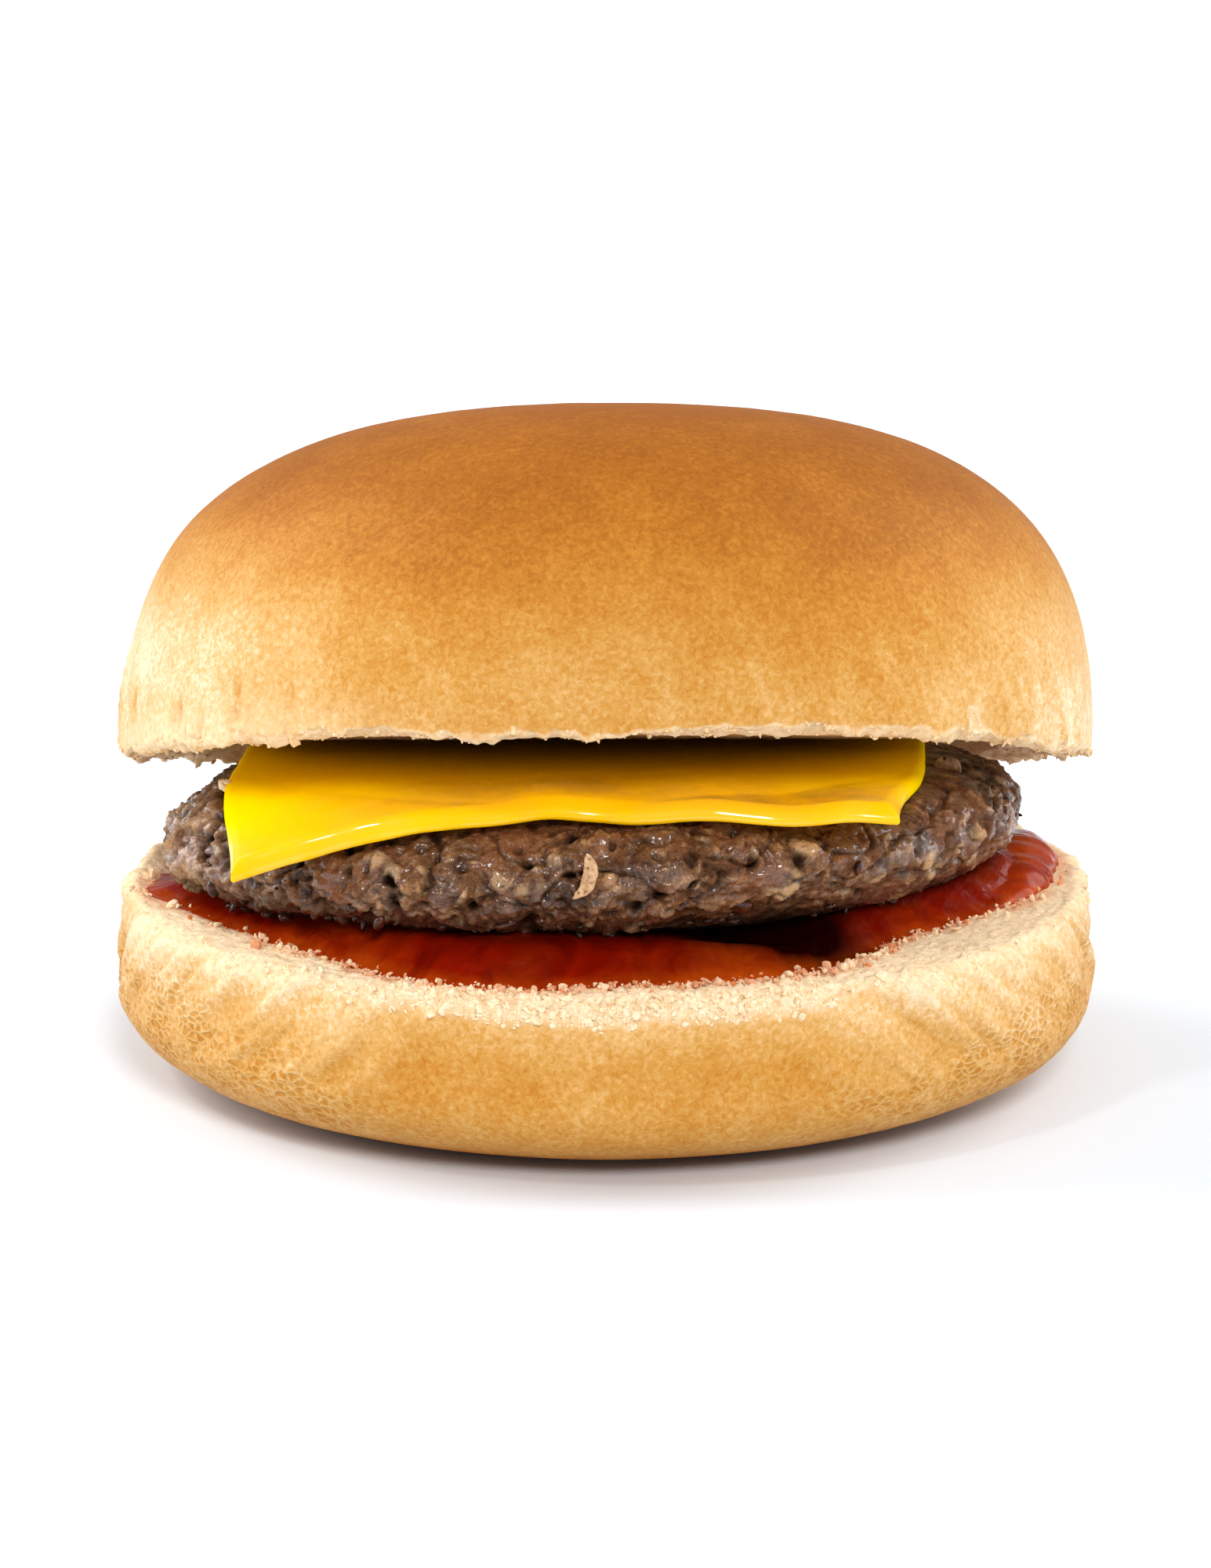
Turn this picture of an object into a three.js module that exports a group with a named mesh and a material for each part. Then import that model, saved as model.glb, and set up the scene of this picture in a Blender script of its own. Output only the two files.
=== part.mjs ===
// A cheeseburger. The lower bun stands flat; ketchup, a beef patty and a slice of cheese lie on
// it, and the upper bun leans back on them, shut at the back and a wedge open at the front.
// Millimetres, +Z up. The open front faces -Y. The origin is the middle of the flat foot.

import * as THREE from 'three';
import { mergeVertices } from 'three/addons/utils/BufferGeometryUtils.js';

const GAP = 0.35; // air between two pieces that touch
const DEGREE = Math.PI / 180;

// Lower bun: a shallow bowl of crust with a cut face on top
const HEEL_RADIUS = 57; // a 4.5 inch bun
const HEEL_WIDEST_Z = 11.5;
const HEEL_RIM_RADIUS = 56.6;
const HEEL_HEIGHT = 22.6;
const HEEL_FOOT_RADIUS = 32.6; // flat face that it stands on
const HEEL_FOOT_POWER = 2.2; // roundness between the foot and the widest ring
const HEEL_ROUNDING = 2.4; // its soft rim rounds over between crust and cut face
const HEEL_LUMPS = 0.5; // depth of the soft lumps in its crust

// Upper bun: a dome, its cut edge raised at the front
const CROWN_RADIUS = 56.5;
const CROWN_HEIGHT = 40.4;
const CROWN_POWER = 2.75; // 2 is an ellipse, more is fuller
const CROWN_ROUNDING = 1.2;
const CROWN_TILT = 14.6 * DEGREE;
const CROWN_LEAN = 1.1; // the top sits this far to the right
const CROWN_SHUT_GAP = 0.4; // air between the two buns at the back
const CROWN_HOLLOW = 1.5; // its cut face is hollow by this much inside the edge
const CROWN_LUMPS = 0.6;
const CROWN_EDGE_RISES = [
  { towards: -62 * DEGREE, spread: 24 * DEGREE, rise: 1.5 },
  { towards: -118 * DEGREE, spread: 14 * DEGREE, rise: 1 },
];

// Relief: how far apart the lumps and crags lie, and how deep the torn crumb edges are
const LUMP_SIZES = [24, 11];
const CRUMB_SIZE = 4.5;
const HEEL_CRUMB_RELIEF = 0.35;
const CROWN_CRUMB_RELIEF = 0.4;
const CRAG_SIZES = [7, 3.6];

// Patty: a thick lens of ground beef, tipped back and a little to the left
const PATTY_RADIUS = 50.8; // a 4 inch patty
const PATTY_HALF = 7.9; // half of its thickness
const PATTY_SHOULDER = 0.18; // its top is this much fuller at the left and right
const PATTY_X = -1.3;
const PATTY_MIDDLE_Z = 28.7;
const TIP_BACK = 0.098; // rise of the filling towards the front, mm for each mm
const TIP_SIDE = 0.015; // rise of the filling towards the right
const PATTY_TOP_POWER = 7;
const PATTY_UNDER_POWER = 5.5;
const PATTY_RIM_SKEW = 1.6; // the rim sits lower on the left and higher on the right
const MEAT_RELIEF = 1.5; // depth of the crags round the edge

// Dents that the patty and the slice press into the two buns
const DENT_RADIUS = 56;
const HEEL_DENT_POWER = 9;
const CROWN_DENT_POWER = 10;
const CROWN_SLACK = 1.3; // room over the filling, for the shoulders and corners that rise
const RIM_BLEND = 2.5; // rounding where the patty's dent runs out into the lower bun's flat rim
const SHUT_BLEND = 0.6; // rounding where the upper bun's back edge presses the lower bun

// Cheese: one square slice, its left front corner hanging
const SLICE_SIDE = 79;
const SLICE_THICKNESS = 2.3;
const SLICE_X = -2.6;
const SLICE_Y = -5.5;
const SLICE_TURN = -2.5 * DEGREE;
const SLICE_REST = 0.87; // share of the patty's radius that still carries the slice
const SLICE_BACK_Y = [36, 46]; // the room for it over the patty fades out between these
const SLICE_PULL = { left: 0.03, right: 0.08 }; // its front corners are drawn in by this share
const SLICE_PULL_Y = [-18, -44];
const SLICE_WAVE = 0.3;
const SLICE_WAVE_LENGTH = 18;
const SLICE_WAVE_CREST_X = 11.5;

// Corners of the slice that bend down: direction, width of the bend and how it bends
const BENDS = [
  { towards: -126 * DEGREE, spread: 46 * DEGREE, start: -1.5, radius: 12, steepest: 31 * DEGREE },
  { towards: 141 * DEGREE, spread: 36 * DEGREE, start: -1, radius: 9, steepest: 46 * DEGREE },
  { towards: 42 * DEGREE, spread: 36 * DEGREE, start: 0, radius: 9, steepest: 46 * DEGREE },
];

// Ketchup: a pool with lobes that reach out over the crumb
const SAUCE_RADIUS = 48.5;
const SAUCE_DEPTH = 4.7; // free height of the pool
const SAUCE_LEAST = 1; // what is left of it where the patty presses
const SAUCE_LIP = 0.45; // height of its outermost edge
const SAUCE_POWER = 6; // 2 is a dome, more is flatter with a steeper edge
const SAUCE_BLEND = 0.4; // rounding where it meets the patty's underside
const SAUCE_LOBES = [
  { towards: -175 * DEGREE, spread: 17 * DEGREE, reach: 4.7, rise: 0 },
  { towards: -106 * DEGREE, spread: 21 * DEGREE, reach: 4.4, rise: 0 },
  { towards: -68 * DEGREE, spread: 17 * DEGREE, reach: 2, rise: 0 },
  { towards: -38 * DEGREE, spread: 15 * DEGREE, reach: -4, rise: 0 },
  { towards: 6 * DEGREE, spread: 20 * DEGREE, reach: 5, rise: 1.3 },
];
const SAUCE_HOLLOW = { x: 17, y: -37, length: 12, width: 5.5, depth: 2.3 };

const BUN_SEGMENTS = 72;
const PATTY_SEGMENTS = 108;
const SAUCE_SEGMENTS = 72;
const SLICE_SEGMENTS = 18;
const DENT_PASSES = 4; // steps that find how deep the filling presses into the tilted upper bun

function clamp01(value) {
  return Math.min(Math.max(value, 0), 1);
}

function smoothstep(low, high, value) {
  const t = clamp01((value - low) / (high - low));
  return t * t * (3 - 2 * t);
}

// The lower of two heights, with the corner between them rounded over `blend`
function softMin(a, b, blend) {
  const t = clamp01(0.5 + (b - a) / (2 * blend));
  return b + (a - b) * t - blend * t * (1 - t);
}

// How near an angle is to `towards`: 1 there, falling off as a bell
function nearness(angle, { towards, spread }) {
  const off = Math.atan2(Math.sin(angle - towards), Math.cos(angle - towards)) / spread;
  return Math.exp(-off * off);
}

// Random value of one lattice point, -1 to 1
function latticeValue(i, j, k) {
  let h = (Math.imul(i, 374761393) + Math.imul(j, 668265263) + Math.imul(k, 1442695041)) | 0;
  h = Math.imul(h ^ (h >>> 13), 1274126177);
  return ((h ^ (h >>> 16)) >>> 0) / 2147483648 - 1;
}

// Smooth random field, -1 to 1, with bumps about `size` mm apart
function bumps(x, y, z, size) {
  const at = [x / size, y / size, z / size];
  const low = at.map(Math.floor);
  const mix = at.map((value, axis) => smoothstep(0, 1, value - low[axis]));
  let sum = 0;
  for (let corner = 0; corner < 8; corner++) {
    const step = [corner & 1, (corner >> 1) & 1, corner >> 2];
    const weight = step.reduce((w, s, axis) => w * (s ? mix[axis] : 1 - mix[axis]), 1);
    sum += weight * latticeValue(low[0] + step[0], low[1] + step[1], low[2] + step[2]);
  }
  return sum;
}

// Upper bun's middle of the cut edge: it meets the lower bun's rim at the back
const crownMiddleZ = HEEL_HEIGHT + CROWN_RADIUS * Math.sin(CROWN_TILT);

function crownEdgeHeight(y) {
  return crownMiddleZ - y * Math.tan(CROWN_TILT);
}

function pattyMiddle(x, y) {
  return PATTY_MIDDLE_Z - TIP_BACK * y + TIP_SIDE * x;
}

function lens(share, power) {
  return Math.sqrt(Math.max(0, 1 - share ** power));
}

function rimSkew(x, share) {
  return (PATTY_RIM_SKEW * (x - PATTY_X) / PATTY_RADIUS) * Math.min(share, 1) ** 6;
}

// The patty's top is fuller on its left and right: 1 in the middle, more towards those sides
function shoulder(share, angle) {
  return 1 + PATTY_SHOULDER * share ** 6 * Math.cos(angle) ** 2;
}

function pattyUnderside(x, y) {
  const share = Math.hypot(x - PATTY_X, y) / PATTY_RADIUS;
  return pattyMiddle(x, y) + rimSkew(x, share) - PATTY_HALF * lens(share, PATTY_UNDER_POWER);
}

// Depth of the soft hollow that the patty presses into bread, 1 in the middle and 0 at DENT_RADIUS
function dentShare(x, y, power) {
  return 1 - (Math.hypot(x - PATTY_X, y) / DENT_RADIUS) ** power;
}

// Cut face of the lower bun: flat, dented under the patty and under the upper bun's back edge
function heelFace(x, y) {
  const press = PATTY_HALF + SAUCE_LEAST + 2 * GAP;
  const underPatty = pattyMiddle(x, y) - press * dentShare(x, y, HEEL_DENT_POWER);
  const underCrown = crownEdgeHeight(y) - CROWN_SHUT_GAP;
  return softMin(softMin(HEEL_HEIGHT, underPatty, RIM_BLEND), underCrown, SHUT_BLEND);
}

function sauceRadius(angle) {
  return SAUCE_LOBES.reduce((r, lobe) => r + lobe.reach * nearness(angle, lobe), SAUCE_RADIUS);
}

function sauceTop(x, y) {
  const angle = Math.atan2(y, x);
  const share = Math.min(Math.hypot(x, y) / sauceRadius(angle), 1);
  const rise = SAUCE_LOBES.reduce((sum, lobe) => sum + lobe.rise * nearness(angle, lobe), 0);
  const pool = SAUCE_LIP + (SAUCE_DEPTH + rise) * lens(share, SAUCE_POWER);
  const { x: hx, y: hy, length, width, depth } = SAUCE_HOLLOW;
  const hollow = depth * Math.exp(-(((x - hx) / length) ** 2) - ((y - hy) / width) ** 2);
  return heelFace(x, y) + GAP + Math.max(pool - hollow, SAUCE_LIP);
}

// Height that the upper bun has to clear: the patty, and the slice as far back as it reaches
function fillingTop(x, y) {
  const slice = (SLICE_THICKNESS + GAP) * (1 - smoothstep(...SLICE_BACK_Y, y));
  const press = PATTY_HALF + slice + CROWN_SLACK;
  return pattyMiddle(x, y) + press * dentShare(x, y, CROWN_DENT_POWER);
}

// Closed, merged copy of a geometry with every point moved by `move`
function shaped(geometry, move) {
  geometry.deleteAttribute('normal');
  geometry.deleteAttribute('uv');
  const solid = mergeVertices(geometry, 1e-4);
  const positions = solid.getAttribute('position');
  const point = new THREE.Vector3();
  for (let i = 0; i < positions.count; i++) {
    move(point.fromBufferAttribute(positions, i));
    positions.setXYZ(i, point.x, point.y, point.z);
  }
  const faces = [];
  const index = solid.getIndex().array;
  for (let i = 0; i < index.length; i += 3) {
    const [a, b, c] = index.slice(i, i + 3);
    if (a !== b && b !== c && c !== a) faces.push(a, b, c);
  }
  solid.setIndex(faces);
  solid.computeVertexNormals();
  return solid;
}

// A profile of [radius, height] pairs, from the bottom of the axis to its top, turned round Z
function turned(profile, segments, move) {
  const points = profile.map(([radius, height]) => new THREE.Vector2(radius, height));
  const geometry = new THREE.LatheGeometry(points, segments);
  return shaped(geometry.rotateX(Math.PI / 2), move);
}

function steps(count) {
  return Array.from({ length: count + 1 }, (_, i) => i / count);
}

// Crust lumps and wrinkles push a point in or out from the axis
function dentCrust(point, depth, seed) {
  const { x, y, z } = point;
  const radius = Math.hypot(x, y);
  if (radius < 1) return;
  const [coarse, fine] = LUMP_SIZES.map((size) => bumps(x, y, z + seed, size));
  const lumps = coarse + 0.4 * fine;
  const scale = 1 + (depth * lumps) / Math.max(radius, 20);
  point.x *= scale;
  point.y *= scale;
}

function heelGeometry() {
  const reach = HEEL_RADIUS - HEEL_FOOT_RADIUS;
  const power = 2 / HEEL_FOOT_POWER;
  const lower = steps(7).map((t) => {
    const angle = t * 90 * DEGREE;
    const out = Math.sin(angle) ** power;
    return [HEEL_FOOT_RADIUS + reach * out, HEEL_WIDEST_Z * (1 - Math.cos(angle) ** power)];
  });
  const sideTop = HEEL_HEIGHT - HEEL_ROUNDING;
  const side = steps(3).slice(1).map((t) => [
    HEEL_RADIUS - (HEEL_RADIUS - HEEL_RIM_RADIUS) * t * t,
    HEEL_WIDEST_Z + (sideTop - HEEL_WIDEST_Z) * t,
  ]);
  const rim = steps(3).slice(1).map((t) => [
    HEEL_RIM_RADIUS - HEEL_ROUNDING * (1 - Math.cos(t * 90 * DEGREE)),
    sideTop + HEEL_ROUNDING * Math.sin(t * 90 * DEGREE),
  ]);
  const face = [5, 9, 14, 21, 30, 42].map((inset) => [HEEL_RIM_RADIUS - inset, HEEL_HEIGHT]);
  const profile = [[0, 0], ...lower, ...side, ...rim, ...face, [0, HEEL_HEIGHT]];
  return turned(profile, BUN_SEGMENTS, (point) => {
    const weight = smoothstep(0, HEEL_HEIGHT, point.z);
    const radius = Math.hypot(point.x, point.y);
    const edge = smoothstep(-3, -0.5, radius - HEEL_RIM_RADIUS) * weight;
    const ragged = HEEL_CRUMB_RELIEF * edge * bumps(point.x, point.y, 0, CRUMB_SIZE);
    if (point.z > 0) dentCrust(point, HEEL_LUMPS * (1 - edge), 300);
    point.z -= (HEEL_HEIGHT - heelFace(point.x, point.y)) * weight;
    point.z += Math.min(ragged, 0.2);
  });
}

function crownGeometry() {
  const power = 2 / CROWN_POWER;
  const dome = steps(13).map((t) => {
    const angle = t * 90 * DEGREE;
    return [CROWN_RADIUS * Math.cos(angle) ** power, CROWN_HEIGHT * Math.sin(angle) ** power];
  });
  dome[0] = [CROWN_RADIUS, CROWN_ROUNDING];
  const under = [50, 38, 30, 23, 17, 12, 8, 4.5, 2, 0.5].map((inset) => [CROWN_RADIUS - inset, 0]);
  const profile = [[0, 0], ...under, ...dome.slice(0, -1), [0, CROWN_HEIGHT]];
  const turn = new THREE.Matrix4().makeRotationX(-CROWN_TILT).setPosition(0, 0, crownMiddleZ);
  const world = new THREE.Vector3();
  return turned(profile, BUN_SEGMENTS, (point) => {
    const up = point.z / CROWN_HEIGHT;
    const inwards = Math.hypot(point.x, point.y) - CROWN_RADIUS;
    const edge = smoothstep(-5, -0.5, inwards) * (1 - up) ** 8;
    const hollow = CROWN_HOLLOW * smoothstep(-1, -6, inwards);
    dentCrust(point, CROWN_LUMPS * (1 - edge), 500);
    point.x += CROWN_LEAN * up;
    let dent = hollow;
    for (let pass = 0; pass < DENT_PASSES; pass++) {
      world.set(point.x, point.y, dent).applyMatrix4(turn);
      dent = Math.max(hollow, dent + fillingTop(world.x, world.y) - world.z);
    }
    point.z += dent * (1 - up) ** 6;
    const angle = Math.atan2(point.y, point.x);
    const rise = CROWN_EDGE_RISES.reduce((sum, lobe) => sum + lobe.rise * nearness(angle, lobe), 0);
    const ragged = CROWN_CRUMB_RELIEF * Math.max(bumps(point.x, point.y, 700, CRUMB_SIZE), -0.4);
    point.z += edge * (rise + ragged);
    point.applyMatrix4(turn);
  });
}

function pattyGeometry() {
  const side = (power, sign) =>
    steps(10).map((t) => {
      const angle = t * 90 * DEGREE;
      const share = t < 1 ? Math.cos(angle) ** (2 / power) : 0;
      return [PATTY_RADIUS * share, sign * PATTY_HALF * Math.sin(angle)];
    });
  const under = side(PATTY_UNDER_POWER, -1).reverse();
  const top = side(PATTY_TOP_POWER, 1);
  return turned([...under, ...top.slice(1)], PATTY_SEGMENTS, (point) => {
    const share = Math.hypot(point.x, point.y) / PATTY_RADIUS;
    const { x, y, z } = point;
    const crags = 0.5 + 0.35 * bumps(x, y, z, CRAG_SIZES[0]) + 0.25 * bumps(x, y, z + 90, CRAG_SIZES[1]);
    const worn = clamp01(crags) * MEAT_RELIEF * smoothstep(0.72, 0.97, share);
    const shrink = 1 - worn / PATTY_RADIUS;
    const fuller = z > 0 ? shoulder(share, Math.atan2(y, x)) : 1;
    point.set(x * shrink + PATTY_X, y * shrink, z * fuller * (1 - 0.06 * worn));
    point.z += pattyMiddle(point.x, point.y) + rimSkew(point.x, share);
  });
}

// Where a point of the flat slice comes to lie: its underside's place and its lean outwards
function drape(x, y) {
  const dx = x - PATTY_X;
  const reach = Math.hypot(dx, y);
  const angle = Math.atan2(y, dx);
  const rest = SLICE_REST * PATTY_RADIUS;
  let out = reach;
  let drop = 0;
  let lean = 0;
  for (const bend of BENDS) {
    const free = reach - rest - bend.start;
    const steepest = bend.steepest * nearness(angle, bend);
    if (free <= 0) continue;
    const turned = Math.min(free / bend.radius, steepest);
    const straight = free - turned * bend.radius;
    out -= free - bend.radius * Math.sin(turned) - straight * Math.cos(turned);
    drop += bend.radius * (1 - Math.cos(turned)) + straight * Math.sin(turned);
    lean += turned;
  }
  const onX = PATTY_X + out * Math.cos(angle);
  const onY = out * Math.sin(angle);
  const share = Math.min(reach / PATTY_RADIUS, SLICE_REST);
  const carried = PATTY_HALF * shoulder(share, angle) * lens(share, PATTY_TOP_POWER);
  const front = smoothstep(-26, -42, y) * smoothstep(-16, -6, x) * smoothstep(33, 25, x);
  const crest = Math.cos((2 * Math.PI * (x - SLICE_WAVE_CREST_X)) / SLICE_WAVE_LENGTH);
  const wave = SLICE_WAVE * (1 + crest) * front;
  const height = pattyMiddle(onX, onY) + carried + GAP + wave - drop;
  return { x: onX, y: onY, z: height, angle, lean };
}

function cheeseGeometry() {
  const parts = [SLICE_SIDE, SLICE_SIDE, SLICE_THICKNESS, SLICE_SEGMENTS, SLICE_SEGMENTS, 1];
  const sheet = new THREE.BoxGeometry(...parts);
  sheet.rotateZ(SLICE_TURN).translate(SLICE_X, SLICE_Y, SLICE_THICKNESS / 2);
  return shaped(sheet, (point) => {
    const pull = point.x < 0 ? SLICE_PULL.left : SLICE_PULL.right;
    point.x *= 1 - pull * smoothstep(...SLICE_PULL_Y, point.y);
    const place = drape(point.x, point.y);
    const out = point.z * Math.sin(place.lean);
    point.x = place.x + out * Math.cos(place.angle);
    point.y = place.y + out * Math.sin(place.angle);
    point.z = place.z + point.z * Math.cos(place.lean);
  });
}

function sauceGeometry() {
  const bottom = [0, 0.3, 0.55, 0.72, 0.84, 0.93, 1].map((share) => [share, 0]);
  const top = [1, 0.98, 0.94, 0.88, 0.8, 0.68, 0.5, 0.25, 0].map((share) => [share, 1]);
  return turned([...bottom, ...top], SAUCE_SEGMENTS, (point) => {
    const onTop = point.z > 0.5;
    const radius = sauceRadius(Math.atan2(point.y, point.x));
    point.x *= radius;
    point.y *= radius;
    const floor = heelFace(point.x, point.y) + GAP;
    const share = Math.hypot(point.x - PATTY_X, point.y) / PATTY_RADIUS;
    const free = sauceTop(point.x, point.y);
    const ceiling = share < 1 ? pattyUnderside(point.x, point.y) - GAP : free + PATTY_HALF;
    const top = softMin(free, ceiling, SAUCE_BLEND);
    point.z = onTop ? Math.max(top, floor + SAUCE_LIP / 2) : floor;
  });
}

function piece(name, geometry, color, roughness) {
  const material = new THREE.MeshStandardMaterial({ color, roughness, metalness: 0 });
  const mesh = new THREE.Mesh(geometry, material);
  mesh.name = name;
  return mesh;
}

const cheeseburger = new THREE.Group();
cheeseburger.add(
  piece('heel', heelGeometry(), 0xe0b673, 0.8),
  piece('ketchup', sauceGeometry(), 0x8c1407, 0.15),
  piece('patty', pattyGeometry(), 0x5c4a41, 0.45),
  piece('cheese', cheeseGeometry(), 0xf7b400, 0.3),
  piece('crown', crownGeometry(), 0xcb8f4f, 0.7),
);

export default cheeseburger;
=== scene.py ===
"""A cheeseburger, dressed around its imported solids: crusts, crumb, meat, melted cheese and sauce.

Shapes are worked out in millimetres and turned into metres when a mesh is made. +Z is up and
the open front of the burger faces -Y. Directions round the burger are in degrees from +X, so
that the front is at -90. Fields such as browning run from 0 to 1.
"""
import math
from itertools import product

import bpy
import numpy as np
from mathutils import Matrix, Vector


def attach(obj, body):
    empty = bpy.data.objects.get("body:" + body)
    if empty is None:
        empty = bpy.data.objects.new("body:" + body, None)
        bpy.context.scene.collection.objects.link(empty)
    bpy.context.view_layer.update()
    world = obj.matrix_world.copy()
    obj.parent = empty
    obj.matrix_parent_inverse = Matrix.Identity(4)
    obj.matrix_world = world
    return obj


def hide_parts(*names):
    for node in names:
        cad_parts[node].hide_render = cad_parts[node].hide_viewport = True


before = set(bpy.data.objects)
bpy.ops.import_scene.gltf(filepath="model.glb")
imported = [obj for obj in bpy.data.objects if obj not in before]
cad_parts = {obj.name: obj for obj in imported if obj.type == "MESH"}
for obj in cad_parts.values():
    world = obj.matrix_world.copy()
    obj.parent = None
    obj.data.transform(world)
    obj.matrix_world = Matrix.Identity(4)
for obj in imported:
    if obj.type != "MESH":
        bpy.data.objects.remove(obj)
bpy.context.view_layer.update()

MM = 0.001
DEGREE = math.pi / 180
QUARTER = math.pi / 2
FRONT = -90

# Lower bun
HEEL_RADIUS = 57.0
HEEL_WIDEST_Z = 11.5
HEEL_RIM_RADIUS = 56.6
HEEL_HEIGHT = 22.6
HEEL_FOOT_RADIUS = 32.6
HEEL_FOOT_POWER = 2.2
HEEL_ROUNDING = 2.4
HEEL_LUMP_DEPTH = 0.5
HEEL_LUMP_SEED = 300

# Upper bun
CROWN_RADIUS = 56.5
CROWN_HEIGHT = 40.4
CROWN_POWER = 2.75
CROWN_ROUNDING = 1.2
CROWN_ROUNDING_WIDTH = 0.9
CROWN_TILT = 14.6 * DEGREE
CROWN_LEAN = 1.1
CROWN_SHUT_GAP = 0.4
CROWN_HOLLOW = 1.5
CROWN_EDGE_RISES = [(-62, 24, 1.5), (-118, 14, 1.0)]
CROWN_MIDDLE_Z = HEEL_HEIGHT + CROWN_RADIUS * math.sin(CROWN_TILT)
CROWN_LUMP_DEPTH = 0.6
CROWN_LUMP_SEED = 500

# Lumps and waves of both buns: how far apart they are
LUMP_SIZE = 24
SMALL_LUMP_SIZE = 11
EDGE_WAVE_SIZE = 4.5

# Patty
PATTY_RADIUS = 50.8
PATTY_HALF = 7.9
PATTY_SHOULDER = 0.18
PATTY_X = -1.3
PATTY_MIDDLE_Z = 28.7
TIP_BACK = 0.098
TIP_SIDE = 0.015
PATTY_TOP_POWER = 7
PATTY_UNDER_POWER = 5.5
PATTY_RIM_SKEW = 1.6
PATTY_WEAR = 1.5

# Dents that the filling presses into the buns
GAP = 0.35
SAUCE_LEAST = 1.0
DENT_RADIUS = 56.0
HEEL_DENT_POWER = 9
CROWN_DENT_POWER = 10
CROWN_SLACK = 1.3

# Cheese slice
SLICE_SIDE = 79.0
SLICE_THICKNESS = 2.3
SLICE_X = -2.6
SLICE_Y = -5.5
SLICE_TURN = -2.5 * DEGREE
SLICE_REST = 0.87
SLICE_PULL_LEFT = 0.03
SLICE_PULL_RIGHT = 0.08
SLICE_WAVE = 0.3
SLICE_WAVE_LENGTH = 18.0
SLICE_WAVE_CREST_X = 11.5
# Corners that bend down: direction and width in degrees, start, radius, steepest in degrees
SLICE_BENDS = [(-126, 46, -1.5, 12, 31), (141, 36, -1, 9, 46), (42, 36, 0, 9, 46)]
SLICE_EDGE_RADIUS = 1.25
SLICE_EDGE_POWER = 2.3

# Ketchup: direction and width of each lobe in degrees, its reach and its rise
SAUCE_RADIUS = 48.5
SAUCE_DEPTH = 4.7
SAUCE_LIP = 0.45
SAUCE_POWER = 6
SAUCE_LOBES = [
    (-175, 17, 4.7, 0.0),
    (-106, 21, 4.4, 0.0),
    (-68, 17, 2.0, 0.0),
    (-38, 15, -4.0, 0.0),
    (6, 20, 5.0, 1.3),
]
SAUCE_FRILL = 2.0
SAUCE_FRILL_SIZE = 7.0
SAUCE_SINK = 0.15

# Hollow in the ketchup, at the front right of the patty
HOLLOW_X = 17.0
HOLLOW_Y = -37.0
HOLLOW_LENGTH = 12.0
HOLLOW_WIDTH = 5.5
HOLLOW_DEPTH = 2.3

# Relief of the bread that is too fine for the solids: sizes across, and depths
PIT_SIZE = 2.3
PIT_DEPTH = 0.1
CREASE_SIZE = 2.9
CREASE_DEPTH = 1.25
FACE_CREASE_DEPTH = 0.6
FLUFF_SIZE = 1.1
FLUFF_DEPTH = 0.8
STREAK_SIZE = 2.1
STREAK_DEPTH = 1.05
SLIT_SIZE = 1.9
SLIT_DEPTH = 0.8
HEEL_TOOTH_DEPTH = 1.5
CROWN_TOOTH_DEPTH = 1.3

# Relief of the meat: sizes across, depths, and the depth that lies on the solid's own surface
MEAT_LUMP_SIZE = 6.2
MEAT_LUMP_DEPTH = 0.75
MEAT_GRAIN_SIZE = 2.4
MEAT_GRAIN_DEPTH = 0.6
MEAT_ROUGH_SIZE = 2.6
MEAT_ROUGH_DEPTH = 0.8
MEAT_FINE_SIZE = 0.95
MEAT_FINE_DEPTH = 0.42
PORE_SIZE = 2.5
PORE_DEPTH = 0.6
CREVICE_SIZE = 8.0
CREVICE_DEPTH = 0.45
MEAT_MIDDLE_DEPTH = 1.05

# Browning, from 0, pale, to 1, dark
HEEL_TOAST = 0.47
HEEL_FOOT_TOAST = 0.32
HEEL_TOP_PALER = 0.24
# painted light: how much paler the lower bun is painted at its left and right, where the side lamps fall
HEEL_SIDE_PAINTED_LIGHT = 0.13
CROWN_TOAST = 0.43
CROWN_TOP_TOAST = 0.45
# painted light: how much paler the upper bun is painted at its left and right, where the side lamps fall
CROWN_LEFT_PAINTED_LIGHT = 0.44
CROWN_RIGHT_PAINTED_LIGHT = 0.3
BLOTCH_TOAST = 0.14

# Small things: how many, and where those few are that the photo shows one by one
STAINED_CRUMBS = 900
LOWER_CRUMBS = 1900
UPPER_CRUMBS = 800
JUICE_BEADS = 110
PALE_SCRAP = (-2.6, -50.9, 35.2)
PALE_FLAKE = (39.4, -9.0, 37.4)
LOOSE_CRUMB = (-43.0, -21.0, 38.4)
LOOSE_CRUMB_BITS = 5

# Mesh density: crowding packs the segments of a turned shape closer in front
BUN_SEGMENTS = 560
BUN_CROWDING = 0.35
PATTY_SEGMENTS = 820
PATTY_CROWDING = 0.4
SAUCE_SEGMENTS = 480
SLICE_STEPS = 180


# Fields that the solids share

MASK = 0xFFFFFFFF


def lattice_value(i, j, k):
    h = (i * 374761393 + j * 668265263 + k * 1442695041) & MASK
    h = ((h ^ (h >> 13)) * 1274126177) & MASK
    return (h ^ (h >> 16)) / 2147483648.0 - 1.0


def smoothstep(low, high, value):
    t = np.clip((value - low) / (high - low), 0.0, 1.0)
    return t * t * (3 - 2 * t)


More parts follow.
